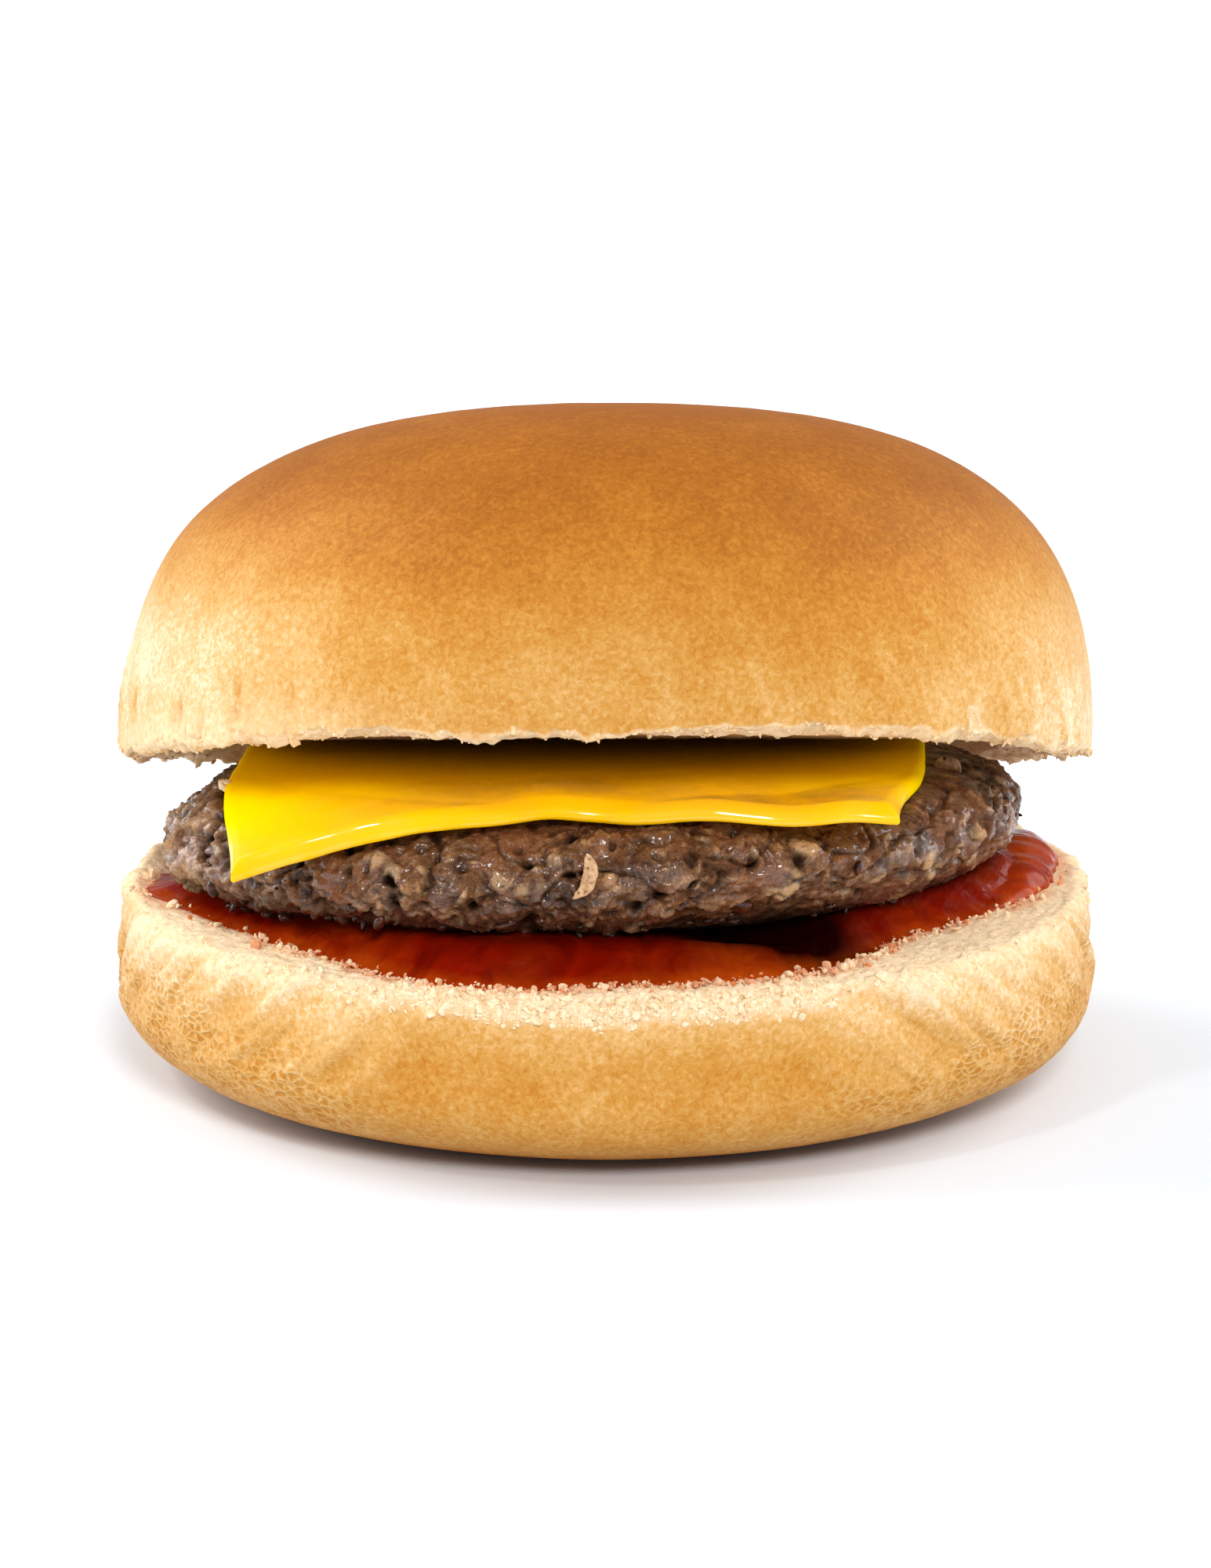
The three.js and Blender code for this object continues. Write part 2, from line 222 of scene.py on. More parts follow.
def bumps(x, y, z, size):
    """Smooth random field, -1 to 1, with bumps about `size` mm apart"""
    at = [np.asarray(v, float) / size for v in np.broadcast_arrays(x, y, z)]
    low = [np.floor(v).astype(np.int64) for v in at]
    mix = [smoothstep(0, 1, v - f) for v, f in zip(at, low)]
    total = 0
    for step in product((0, 1), repeat=3):
        weight = 1
        for s, m in zip(step, mix):
            weight = weight * (m if s else 1 - m)
        total = total + weight * lattice_value(*(f + s for f, s in zip(low, step)))
    return total


def octaves(x, y, z, size, count, keep=0.5):
    """Bumps of `size` mm with ever finer ones on them, each level `keep` times as high"""
    total, scale, reach = 0, 1.0, 0.0
    for level in range(count):
        total = total + scale * bumps(x + 37.1 * level, y, z - 11.3 * level, size / 2**level)
        reach += scale
        scale *= keep
    return total / reach


def granules(x, y, z, size, seed=0):
    """Distances to the nearest two of a set of scattered points, in units of `size`, and a
    random value, -1 to 1, of the nearest one"""
    at = [np.asarray(v, float) / size for v in np.broadcast_arrays(x, y, z)]
    low = [np.floor(v).astype(np.int64) for v in at]
    nearest = np.full(at[0].shape, 9.0)
    second = nearest.copy()
    own = np.zeros(at[0].shape)
    for step in product((-1, 0, 1), repeat=3):
        cell = [f + s for f, s in zip(low, step)]
        square = 0
        for axis in range(3):
            shift = lattice_value(cell[0] + seed + 71 * axis, cell[1] - 13 * axis, cell[2] + 29 * axis)
            square = square + (cell[axis] + 0.5 + 0.45 * shift - at[axis]) ** 2
        distance = np.sqrt(square)
        closer = distance < nearest
        second = np.where(closer, nearest, np.minimum(second, distance))
        own = np.where(closer, lattice_value(cell[0] - seed, cell[1] + 5, cell[2] + 3), own)
        nearest = np.where(closer, distance, nearest)
    return nearest, second, own


def soft_min(a, b, blend):
    t = np.clip(0.5 + (b - a) / (2 * blend), 0, 1)
    return b + (a - b) * t - blend * t * (1 - t)


def nearness(angle, towards, spread):
    """1 in the direction `towards`, fading out over `spread` degrees to either side"""
    off = np.arctan2(np.sin(angle - towards * DEGREE), np.cos(angle - towards * DEGREE))
    return np.exp(-((off / (spread * DEGREE)) ** 2))


def lens(share, power):
    return np.sqrt(np.clip(1 - share**power, 0, None))


def crown_edge_height(y):
    return CROWN_MIDDLE_Z - y * math.tan(CROWN_TILT)


def patty_middle(x, y):
    return PATTY_MIDDLE_Z - TIP_BACK * y + TIP_SIDE * x


def rim_skew(x, share):
    return PATTY_RIM_SKEW * (x - PATTY_X) / PATTY_RADIUS * np.minimum(share, 1) ** 6


def shoulder(share, angle):
    return 1 + PATTY_SHOULDER * share**6 * np.cos(angle) ** 2


def patty_underside(x, y):
    share = np.hypot(x - PATTY_X, y) / PATTY_RADIUS
    return patty_middle(x, y) + rim_skew(x, share) - PATTY_HALF * lens(share, PATTY_UNDER_POWER)


def dent_share(x, y, power):
    return 1 - (np.hypot(x - PATTY_X, y) / DENT_RADIUS) ** power


def heel_face(x, y):
    """Height of the lower bun's cut face: level, dented under the patty, low under the crown"""
    press = PATTY_HALF + SAUCE_LEAST + 2 * GAP
    under_patty = patty_middle(x, y) - press * dent_share(x, y, HEEL_DENT_POWER)
    under_crown = crown_edge_height(y) - CROWN_SHUT_GAP
    return soft_min(soft_min(HEEL_HEIGHT, under_patty, 2.5), under_crown, 0.6)


def filling_top(x, y):
    """Height below which the crown doesn't come: the slice, and behind it the patty alone"""
    slice_room = (SLICE_THICKNESS + GAP) * (1 - smoothstep(36, 46, y))
    press = PATTY_HALF + slice_room + CROWN_SLACK
    return patty_middle(x, y) + press * dent_share(x, y, CROWN_DENT_POWER)


def sauce_radius(angle):
    radius = SAUCE_RADIUS + 0 * angle
    for towards, spread, reach, _ in SAUCE_LOBES:
        radius = radius + reach * nearness(angle, towards, spread)
    return radius


# Mesh making


class Surface:
    """A closed surface: points in mm, faces as an array of quads and one of triangles"""

    def __init__(self, points, quads, triangles):
        self.points, self.quads, self.triangles = points, quads, triangles

    @property
    def axes(self):
        return self.points.T.copy()

    def normals(self):
        p = self.points
        a, b, c, d = self.quads.T
        e, f, g = self.triangles.T
        over_quads = np.cross(p[c] - p[a], p[d] - p[b])
        over_triangles = np.cross(p[f] - p[e], p[g] - p[e])
        facing = np.zeros_like(p)
        for corners, normals in ((self.quads, over_quads), (self.triangles, over_triangles)):
            for column in corners.T:
                for axis in range(3):
                    facing[:, axis] += np.bincount(column, normals[:, axis], len(p))
        return facing / np.maximum(np.linalg.norm(facing, axis=1, keepdims=True), 1e-12)

    def push(self, depth):
        """Moves each point out along its normal by its own depth"""
        self.points = self.points + self.normals() * np.asarray(depth)[:, None]


def turned(radii, heights, segments, crowding=0.0):
    """Rings round Z from the bottom pole to the top pole; the poles are one point each.
    Crowding, up to 0.7, packs the segments closer in front"""
    radii, heights = np.asarray(radii, float), np.asarray(heights, float)
    angle = np.arange(segments) * 2 * math.pi / segments
    angle = angle - crowding * np.sin(angle) + FRONT * DEGREE
    rings = np.stack(
        [
            np.outer(radii, np.cos(angle)),
            np.outer(radii, np.sin(angle)),
            np.outer(heights, np.ones(segments)),
        ],
        axis=-1,
    )[1:-1]
    points = np.vstack([[0, 0, heights[0]], rings.reshape(-1, 3), [0, 0, heights[-1]]])
    index = 1 + np.arange(len(rings) * segments).reshape(-1, segments)
    ahead = np.roll(index, -1, axis=1)
    quads = np.stack([index[:-1], ahead[:-1], ahead[1:], index[1:]], axis=-1).reshape(-1, 4)
    low = np.stack([np.zeros(segments, int), ahead[0], index[0]], axis=-1)
    high = np.stack([np.full(segments, len(points) - 1), index[-1], ahead[-1]], axis=-1)
    return Surface(points, quads, np.vstack([low, high]))


def ball(rings, segments):
    """A ball of radius 1, its poles on Z"""
    t = np.linspace(-1, 1, rings) * QUARTER
    radii = np.cos(t)
    radii[[0, -1]] = 0
    return turned(radii, np.sin(t), segments)


def piece(name, surface, material, nodes=(), fields=None, smooth=True):
    """Makes the surface an object that rides on the burger, with its fields as attributes"""
    mesh = bpy.data.meshes.new(name)
    faces = surface.quads.tolist() + surface.triangles.tolist()
    mesh.from_pydata((surface.points * MM).tolist(), [], faces)
    if smooth:
        mesh.shade_smooth()
    for key, values in (fields or {}).items():
        layer = mesh.attributes.new(key, "FLOAT", "POINT")
        layer.data.foreach_set("value", np.ascontiguousarray(values, np.float32))
    mesh.materials.append(material)
    thing = bpy.data.objects.new(name, mesh)
    bpy.context.scene.collection.objects.link(thing)
    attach(thing, "root")
    if nodes:
        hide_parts(*nodes)
    return thing


# Shader making


def srgb(red, green, blue):
    """Colour as read from a screen, 0 to 255, as the linear values that nodes take"""
    parts = [c / 255 for c in (red, green, blue)]
    linear = [c / 12.92 if c <= 0.04045 else ((c + 0.055) / 1.055) ** 2.4 for c in parts]
    return (*linear, 1.0)


class Shader:
    """A material's node tree, with short calls for the nodes that it is made of.
    Sizes and depths are in mm"""

    def __init__(self, name, **sockets):
        self.material = bpy.data.materials.new(name)
        self.material.use_nodes = True
        self.tree = self.material.node_tree
        self.surface = self.tree.nodes["Principled BSDF"]
        for key, value in sockets.items():
            self.surface.inputs[key.replace("_", " ")].default_value = value
        self.place = self.add("ShaderNodeTexCoord").outputs["Object"]

    def add(self, kind, inputs=None, **settings):
        node = self.tree.nodes.new(kind)
        for key, value in settings.items():
            setattr(node, key, value)
        for key, value in (inputs or {}).items():
            self.feed(node.inputs[key], value)
        return node

    def feed(self, socket, value):
        if isinstance(value, bpy.types.NodeSocket):
            self.tree.links.new(value, socket)
        else:
            socket.default_value = value

    def set(self, key, value):
        self.feed(self.surface.inputs[key], value)

    def field(self, name):
        return self.add("ShaderNodeAttribute", attribute_name=name).outputs["Fac"]

    def stretched(self, along_x, along_y, along_z):
        scale = {"Vector": self.place, "Scale": (along_x, along_y, along_z)}
        return self.add("ShaderNodeMapping", scale).outputs["Vector"]

    def warped(self, place, size, reach):
        """The place pushed about at random by up to half of `reach`"""
        inputs = {"Vector": place, "Scale": 1 / (size * MM), "Detail": 1.0}
        push = self.add("ShaderNodeTexNoise", inputs).outputs["Color"]
        push = self.add("ShaderNodeVectorMath", {0: push, 1: (0.5, 0.5, 0.5)}, operation="SUBTRACT")
        scaled = self.add("ShaderNodeVectorMath", {0: push.outputs[0]}, operation="SCALE")
        scaled.inputs["Scale"].default_value = reach * MM
        moved = self.add("ShaderNodeVectorMath", {0: place, 1: scaled.outputs[0]}, operation="ADD")
        return moved.outputs[0]

    def noise(self, size, detail=3.0, roughness=0.55, distortion=0.0):
        inputs = {
            "Vector": self.place,
            "Scale": 1 / (size * MM),
            "Detail": detail,
            "Roughness": roughness,
            "Distortion": distortion,
        }
        return self.add("ShaderNodeTexNoise", inputs).outputs["Fac"]

    def cells(self, size, feature="F1", place=None, smoothness=None):
        inputs = {"Vector": place or self.place, "Scale": 1 / (size * MM)}
        node = self.add("ShaderNodeTexVoronoi", feature=feature, inputs=inputs)
        if smoothness is not None:
            node.inputs["Smoothness"].default_value = smoothness
        return node.outputs["Distance"]

    def math(self, operation, a, b=0.0, clamp=False):
        node = self.add("ShaderNodeMath", operation=operation, use_clamp=clamp)
        self.feed(node.inputs[0], a)
        self.feed(node.inputs[1], b)
        return node.outputs[0]

    def plus(self, a, b):
        return self.math("ADD", a, b)

    def times(self, a, b):
        return self.math("MULTIPLY", a, b)

    def span(self, value, low, high, to_low=0.0, to_high=1.0):
        """The value's range from low to high, carried over to another range and cut off there"""
        inputs = {
            "Value": value,
            "From Min": low,
            "From Max": high,
            "To Min": to_low,
            "To Max": to_high,
        }
        return self.add("ShaderNodeMapRange", inputs).outputs["Result"]

    def ramp(self, factor, stops):
        node = self.add("ShaderNodeValToRGB", {"Fac": factor})
        elements = node.color_ramp.elements
        while len(elements) < len(stops):
            elements.new(0.5)
        for element, (position, color) in zip(elements, stops):
            element.position = position
            element.color = color
        return node.outputs["Color"]

    def mix(self, factor, a, b):
        node = self.add("ShaderNodeMix", data_type="RGBA")
        self.feed(node.inputs["Factor"], factor)
        self.feed(node.inputs[6], a)
        self.feed(node.inputs[7], b)
        return node.outputs[2]

    def bump(self, height, depth, normal=None):
        inputs = {"Height": height, "Distance": depth * MM, "Strength": 1.0}
        if normal is not None:
            inputs["Normal"] = normal
        return self.add("ShaderNodeBump", inputs).outputs["Normal"]


# Colours: stops of a ramp are a place from 0 to 1 and the colour there

CRUST_TONES = [
    (0.0, srgb(237, 209, 172)),
    (0.25, srgb(213, 167, 104)),
    (0.45, srgb(197, 142, 65)),
    (0.6, srgb(187, 122, 41)),
    (0.8, srgb(166, 100, 27)),
    (1.0, srgb(148, 84, 20)),
]
CRUST_SPECK = srgb(140, 84, 36)
CRUMB_TONES = [
    (0.28, srgb(220, 182, 132)),
    (0.42, srgb(236, 206, 164)),
    (0.6, srgb(246, 226, 194)),
]
SAUCE_STAIN = srgb(212, 124, 76)
MEAT_TONES = [
    (0.3, srgb(40, 20, 11)),
    (0.42, srgb(84, 50, 29)),
    (0.55, srgb(126, 84, 52)),
    (0.68, srgb(206, 154, 104)),
]
MEAT_WARM = srgb(128, 76, 43)
# pale fat, also used as painted light on the patty's left end
MEAT_FAT_AND_PAINTED_LIGHT = srgb(206, 164, 118)
MEAT_PALE_GRAIN = srgb(196, 166, 130)
MEAT_DARK_GRAIN = srgb(40, 24, 16)
# painted shade colour for the meat's pores and crevices
MEAT_PAINTED_GAP_SHADE = srgb(22, 11, 6)
MEAT_WET = srgb(48, 22, 11)
SCRAP_TONES = [
    (0.34, srgb(70, 38, 20)),
    (0.44, srgb(176, 130, 88)),
    (0.62, srgb(212, 172, 128)),
]
JUICE_TONES = [(0.35, srgb(34, 12, 5)), (0.65, srgb(74, 34, 16))]
CHEESE_TONES = [(0.3, (0.93, 0.47, 0.0, 1)), (0.7, (0.96, 0.52, 0.0, 1))]
# painted shade colour of the slice where the crown shades it
CHEESE_SHADED = (1.0, 0.62, 0.0, 1)
SAUCE_DEEP_TONES = [(0.3, srgb(96, 6, 0)), (0.7, srgb(138, 18, 0))]
SAUCE_THIN_TONES = [(0.3, srgb(144, 36, 4)), (0.7, srgb(188, 78, 10))]
# painted shade colour of the ketchup
SAUCE_PAINTED_SHADE = srgb(24, 0, 0)
FLOOR_COLOR = (0.81, 0.87, 0.94, 1)


def bread_material(name):
    """Crust from pale to brown by its browning field, which also carries painted light and painted shade;
    painted shade in the pits where `pitted` is 1; torn crumb where `crumb` is 1
    """
    s = Shader(name, Specular_IOR_Level=0.1)
    grain = s.noise(0.7, 3.0, 0.7, distortion=0.5)
    blotch = s.noise(7.0, 4.0, 0.6)
    speck = s.cells(1.5)
    toast_and_painted_light = s.plus(s.field("toast_and_painted_light"), s.span(grain, 0.3, 0.7, -0.15, 0.15))
    toast_and_painted_light = s.plus(toast_and_painted_light, s.span(blotch, 0.3, 0.7, -0.07, 0.07))
    pitted = s.field("pitted")
    network = s.cells(1.25, "DISTANCE_TO_EDGE", place=s.warped(s.stretched(0.85, 0.85, 1.3), 2.4, 0.8))
    uneven = s.span(s.noise(4.0, 2.0), 0.36, 0.55, 0.25, 1.0)
    pit = s.times(s.times(s.span(network, 0.03, 0.24), uneven), pitted)
    # painted shade: the pits are painted darker and the pitted band paler, in place of deeper bumps
    toast_and_painted_light = s.plus(toast_and_painted_light, s.times(pit, 0.26))
    toast_and_painted_light = s.math("SUBTRACT", toast_and_painted_light, s.times(pitted, 0.12))
    dark_speck = s.times(s.math("LESS_THAN", speck, 0.07), 0.5)
    crust = s.mix(dark_speck, s.ramp(toast_and_painted_light, CRUST_TONES), CRUST_SPECK)
    pores = s.noise(0.75, 4.0, 0.7)
    crumb = s.mix(s.field("stain"), s.ramp(pores, CRUMB_TONES), SAUCE_STAIN)
    is_crumb = s.field("crumb")
    s.set("Base Color", s.mix(is_crumb, crust, crumb))
    s.set("Roughness", s.span(is_crumb, 0, 1, 0.55, 0.85))
    fine = s.bump(s.times(pit, -1), 0.13, s.bump(grain, 0.11))
    s.set("Normal", s.bump(s.times(pores, is_crumb), 0.22, fine))
    return s.material


def beef_material():
    """Fried ground beef: grey brown grains, gaps painted near black as painted shade, pale fat that is
    also painted light on the left end, greasy in places
    """
    s = Shader("beef", Subsurface_Weight=0.06, Subsurface_Scale=0.0015)
    s.set("Subsurface Radius", (1.0, 0.45, 0.3))
    shade = s.noise(3.0, 6.0, 0.72, distortion=0.3)
    hue = s.noise(6.5, 3.0, 0.5)
    fine = s.noise(0.75, 5.0, 0.75)
    painted_gap_shade = s.field("painted_gap_shade")
    wet = s.field("wet")
    color = s.mix(s.span(hue, 0.43, 0.6, 0, 0.8), s.ramp(shade, MEAT_TONES), MEAT_WARM)
    # this field is fat, and also painted light on the patty's left end, where the left lamp falls
    color = s.mix(s.field("fat_and_painted_light"), color, MEAT_FAT_AND_PAINTED_LIGHT)
    color = s.mix(s.span(fine, 0.55, 0.7, 0, 0.5), color, MEAT_PALE_GRAIN)
    color = s.mix(s.span(fine, 0.44, 0.32, 0, 0.8), color, MEAT_DARK_GRAIN)
    # painted shade: pores, crevices and low spots are coloured near black
    color = s.mix(painted_gap_shade, color, MEAT_PAINTED_GAP_SHADE)
    s.set("Base Color", s.mix(wet, color, MEAT_WET))
    s.set("Roughness", s.span(fine, 0.3, 0.7, 0.2, 0.45))
    open_face = s.math("SUBTRACT", 1.0, painted_gap_shade)
    s.set("Specular IOR Level", s.times(open_face, 0.16))
    greasy = s.math("ADD", s.span(s.noise(3.4, 3.0), 0.45, 0.52), wet, clamp=True)
    s.set("Coat Weight", s.times(greasy, open_face))
    s.set("Coat Roughness", 0.18)
    s.set("Coat IOR", 1.5)
    s.set("Coat Normal", s.bump(s.noise(1.6, 2.0), 0.3))
    grain = s.bump(s.noise(0.55, 3.0, 0.6), 0.26, s.bump(fine, 0.4))
    s.set("Normal", s.bump(s.cells(1.0, "SMOOTH_F1", smoothness=0.5), 0.16, grain))
    return s.material


def cheese_material():
    """Melted slice: golden, glossy where it is oily, dull and given a painted shade colour where the field
    `shaded` is 1
    """
    s = Shader("cheese", Subsurface_Weight=0.2, Subsurface_Scale=0.003, Coat_Roughness=0.07)
    s.set("Subsurface Radius", (1.0, 0.75, 0.05))
    shaded = s.field("shaded")
    open_face = s.math("SUBTRACT", 1.0, shaded)
    s.set("Specular IOR Level", s.times(open_face, 0.06))
    s.set("Coat Weight", s.times(s.span(s.noise(6.0, 3.0), 0.42, 0.55, 0.15, 1.0), open_face))
    cloud = s.noise(9.0, 3.0, 0.5)
    # painted shade: where the crown shades the slice, it takes a brighter colour of its own
    s.set("Base Color", s.mix(shaded, s.ramp(cloud, CHEESE_TONES), CHEESE_SHADED))
    s.set("Roughness", s.span(s.noise(3.5, 2.0), 0.3, 0.7, 0.2, 0.3))
    s.set("Normal", s.bump(s.noise(4.0, 2.0), 0.09, s.bump(s.noise(0.5, 2.0), 0.004)))
    return s.material


def juice_material():
    s = Shader("juice", Roughness=0.05, IOR=1.42)
    s.set("Base Color", s.ramp(s.noise(1.5, 2.0), JUICE_TONES))
    return s.material


def scrap_material():
    """Scraps of pale, browned fat"""
    s = Shader("scrap", Roughness=0.4)
    shade = s.noise(0.8, 4.0, 0.7)
    s.set("Base Color", s.ramp(shade, SCRAP_TONES))
    s.set("Normal", s.bump(shade, 0.2))
    return s.material


def sauce_material():
    """Ketchup: deep red, orange where the field `thin` is 1, painted near black as painted shade where
    `dark` is 1
    """
    s = Shader("ketchup", Subsurface_Weight=0.15, Subsurface_Scale=0.0016, Specular_IOR_Level=0.05)
    s.set("Subsurface Radius", (1.0, 0.15, 0.04))
    s.set("Coat Weight", 0.1)
    s.set("Coat Roughness", 0.04)
    cloud = s.noise(5.0, 4.0, 0.6, distortion=0.8)
    mixed = s.mix(s.field("thin"), s.ramp(cloud, SAUCE_DEEP_TONES), s.ramp(cloud, SAUCE_THIN_TONES))
    s.set("Base Color", s.mix(s.field("dark"), mixed, SAUCE_PAINTED_SHADE))
    s.set("Roughness", s.span(s.noise(2.0, 3.0), 0.3, 0.7, 0.07, 0.22))
    s.set("Normal", s.bump(s.noise(2.2, 3.0, 0.55), 0.22))
    return s.material


# Bread


def dent_crust(surface, depth, seed):
    """The lumps that the solid has too: they push crust in or out from the axis"""
    x, y, z = surface.axes
    radius = np.hypot(x, y)
    lumps = bumps(x, y, z + seed, LUMP_SIZE) + 0.4 * bumps(x, y, z + seed, SMALL_LUMP_SIZE)
    scale = np.where(radius < 1, 1, 1 + depth * lumps / np.maximum(radius, 20))
    surface.points[:, 0] = x * scale
    surface.points[:, 1] = y * scale


def torn(x, y, seed):
    """Height of a torn crumb edge, about -1 to 1, with teeth from 5 down to under 1 mm"""
    edge = 0.45 * bumps(x, y, seed, EDGE_WAVE_SIZE) + 0.3 * bumps(x, y, seed + 9, 2.1)
    return edge + 0.35 * bumps(x, y, seed + 18, 1.1)


def crumb_holes(x, y, z, size, seed, least):
    """Depth, 0 to 1, of the holes in a cut face; a higher `least` leaves fewer of them"""
    near, _, own = granules(x, y, z, size, seed)
    return np.clip(1 - near * 1.9, 0, 1) * (own > least)


def heel_profile():
    """Radii and heights from the foot's middle, round the side and in to the face's middle"""
    t = np.linspace(0, 1, 58) * QUARTER
    power = 2 / HEEL_FOOT_POWER
    lower_r = HEEL_FOOT_RADIUS + (HEEL_RADIUS - HEEL_FOOT_RADIUS) * np.sin(t) ** power
    lower_z = HEEL_WIDEST_Z * (1 - np.cos(t) ** power)
    up = np.linspace(0, 1, 26)[1:]
    side_top = HEEL_HEIGHT - HEEL_ROUNDING
    side_r = HEEL_RADIUS - (HEEL_RADIUS - HEEL_RIM_RADIUS) * up**2
    side_z = HEEL_WIDEST_Z + (side_top - HEEL_WIDEST_Z) * up
    turn = np.linspace(0, 1, 11)[1:] * QUARTER
    bend_r = HEEL_RIM_RADIUS - HEEL_ROUNDING * (1 - np.cos(turn))
    bend_z = side_top + HEEL_ROUNDING * np.sin(turn)
    fine_band, plain_radius = 9, 44
    band_r = bend_r[-1] - fine_band * np.linspace(0, 1, 32)[1:]
    face_r = np.concatenate([band_r, np.linspace(plain_radius, 0, 12)])
    foot_r = np.linspace(0, HEEL_FOOT_RADIUS, 7)[:-1]
    face_z = np.full(len(face_r), HEEL_HEIGHT)
    radii = np.concatenate([foot_r, lower_r, side_r, bend_r, face_r])
    return radii, np.concatenate([0 * foot_r, lower_z, side_z, bend_z, face_z])


def heel_body():
    """The lower bun as the solid has it, and how far up each point started, 0 to 1"""
    surface = turned(*heel_profile(), BUN_SEGMENTS, BUN_CROWDING)
    x, y, z = surface.axes
    raised = smoothstep(0, HEEL_HEIGHT, z)
    edge = smoothstep(-3, -0.5, np.hypot(x, y) - HEEL_RIM_RADIUS) * raised
    wave = np.minimum(0.35 * edge * bumps(x, y, 0, EDGE_WAVE_SIZE), 0.2)
    foot = z <= 0
    flat_foot = surface.points[foot].copy()
    dent_crust(surface, HEEL_LUMP_DEPTH * (1 - edge), HEEL_LUMP_SEED)
    surface.points[foot] = flat_foot
    x, y, _ = surface.axes
    surface.points[:, 2] += wave - (HEEL_HEIGHT - heel_face(x, y)) * raised
    return surface, raised


def heel_pits(x, y, z, angle):
    """Depth of the pits baked into the crust, 0 to 1, and where it has them: low at the sides"""
    beside = np.abs(np.cos(angle))
    slant = z + 0.35 * angle * HEEL_RADIUS * np.where(x < 0, -1, 1)
    near, second, own = granules(x * 0.75, y * 0.75, slant * 1.2, PIT_SIZE, 5)
    pit = smoothstep(0.05, 0.4, second - near) * smoothstep(-0.6, 0.3, own)
    highest = 13 + 6 * smoothstep(0.5, 1.0, beside)
    wavy_z = z + 1.5 * bumps(x, y, z, 6)
    band = smoothstep(1.0, 2.6, z) * smoothstep(highest + 2, highest - 4, wavy_z)
    return pit * (0.75 + 0.25 * own), band * smoothstep(0.3, 0.62, beside)


def heel_creases(x, z, angle):
    """Wrinkles that fan out to both sides, -1 to 1, highest on their ridges"""
    mirrored = np.where(x < 0, -1, 1)
    fan = angle * HEEL_RADIUS * 0.62 + z * 0.78 * mirrored
    return octaves(fan, 0.16 * (z - fan * mirrored), 40 + 0 * z, CREASE_SIZE, 3, 0.6)


def heel_surface():
    """The lower bun, and fields for its browning (with painted light at its sides and painted shade in its
    creases), crumb, sauce stain and pits
    """
    surface, raised = heel_body()
    x, y, z = surface.axes
    radius = np.hypot(x, y)
    angle = np.arctan2(y, x)
    past_rim = radius - HEEL_RIM_RADIUS
    past_sauce = radius - sauce_radius(angle)
    on_face = smoothstep(-0.4, -2.2, past_rim) * (z > 12)
    on_side = smoothstep(1.0, 4.0, z) * (1 - on_face)
    clean = smoothstep(-1.6, 0.9, past_sauce)
    sideways = smoothstep(0.3, 0.62, np.abs(np.cos(angle)))
    frontal = 0.4 + 0.6 * smoothstep(0.85, 0.45, np.abs(np.cos(angle)))
    pits, pitted = heel_pits(x, y, z, angle)
    crease = heel_creases(x, z, angle)
    creased = smoothstep(7, 14, z) * (1 - on_face) * (0.25 + 0.75 * sideways)
    ripple = octaves(x, y, z, 3.2, 3)
    crumb_grain = octaves(x, y, z, 1.3, 3, 0.7)
    fluff = 0.55 - granules(x, y, z, FLUFF_SIZE, 44)[0]
    fluffy = frontal**2 * smoothstep(-1.8, -0.6, z - HEEL_HEIGHT) * clean
    teeth = torn(x, y, 60) * frontal * smoothstep(-2.6, -0.2, past_rim) * raised**2

    relief = CREASE_DEPTH * crease * creased - PIT_DEPTH * pits * pitted + 0.08 * ripple * on_side
    relief += on_face * clean * (0.2 + 0.1 * sideways) * crumb_grain
    relief -= on_face * clean * 0.22 * frontal**3 * crumb_holes(x, y, z, 1.6, 21, 0.3)
    relief += on_face * clean * FACE_CREASE_DEPTH * crease * sideways + FLUFF_DEPTH * fluff * fluffy
    surface.push(relief)
    surface.points[:, 2] += HEEL_TOOTH_DEPTH * teeth * clean

    x, y, z = surface.axes
    crust_top = HEEL_HEIGHT - 1.8 + 0.9 * octaves(x, y, 90 + 0 * z, 6.0, 3) + 0.7 * sideways
    crumb = np.maximum(smoothstep(-1.3, 1.3, z - crust_top), on_face)
    crumb *= 1 - 0.5 * sideways * (1 - on_face)
    toast_and_painted_light = HEEL_TOAST + 0.06 * octaves(x, y, z, 16, 3) + HEEL_FOOT_TOAST * smoothstep(4.5, 0.4, z)
    # painted light: paler at the left and right, where the side lamps fall; paler near the top of its own
    toast_and_painted_light -= HEEL_SIDE_PAINTED_LIGHT * sideways * smoothstep(6, 17, z) + HEEL_TOP_PALER * smoothstep(14, 22, z)
    # painted shade: darker in the crease hollows, paler on their ridges
    toast_and_painted_light -= 0.2 * crease * creased
    stain = on_face * smoothstep(3.2, 0.2, past_sauce)
    stain *= smoothstep(-0.3, 0.5, bumps(x, y, z, 3.0) + 0.5 * stain)
    return surface, {"toast_and_painted_light": toast_and_painted_light, "crumb": crumb, "stain": 0.5 * stain, "pitted": pitted}


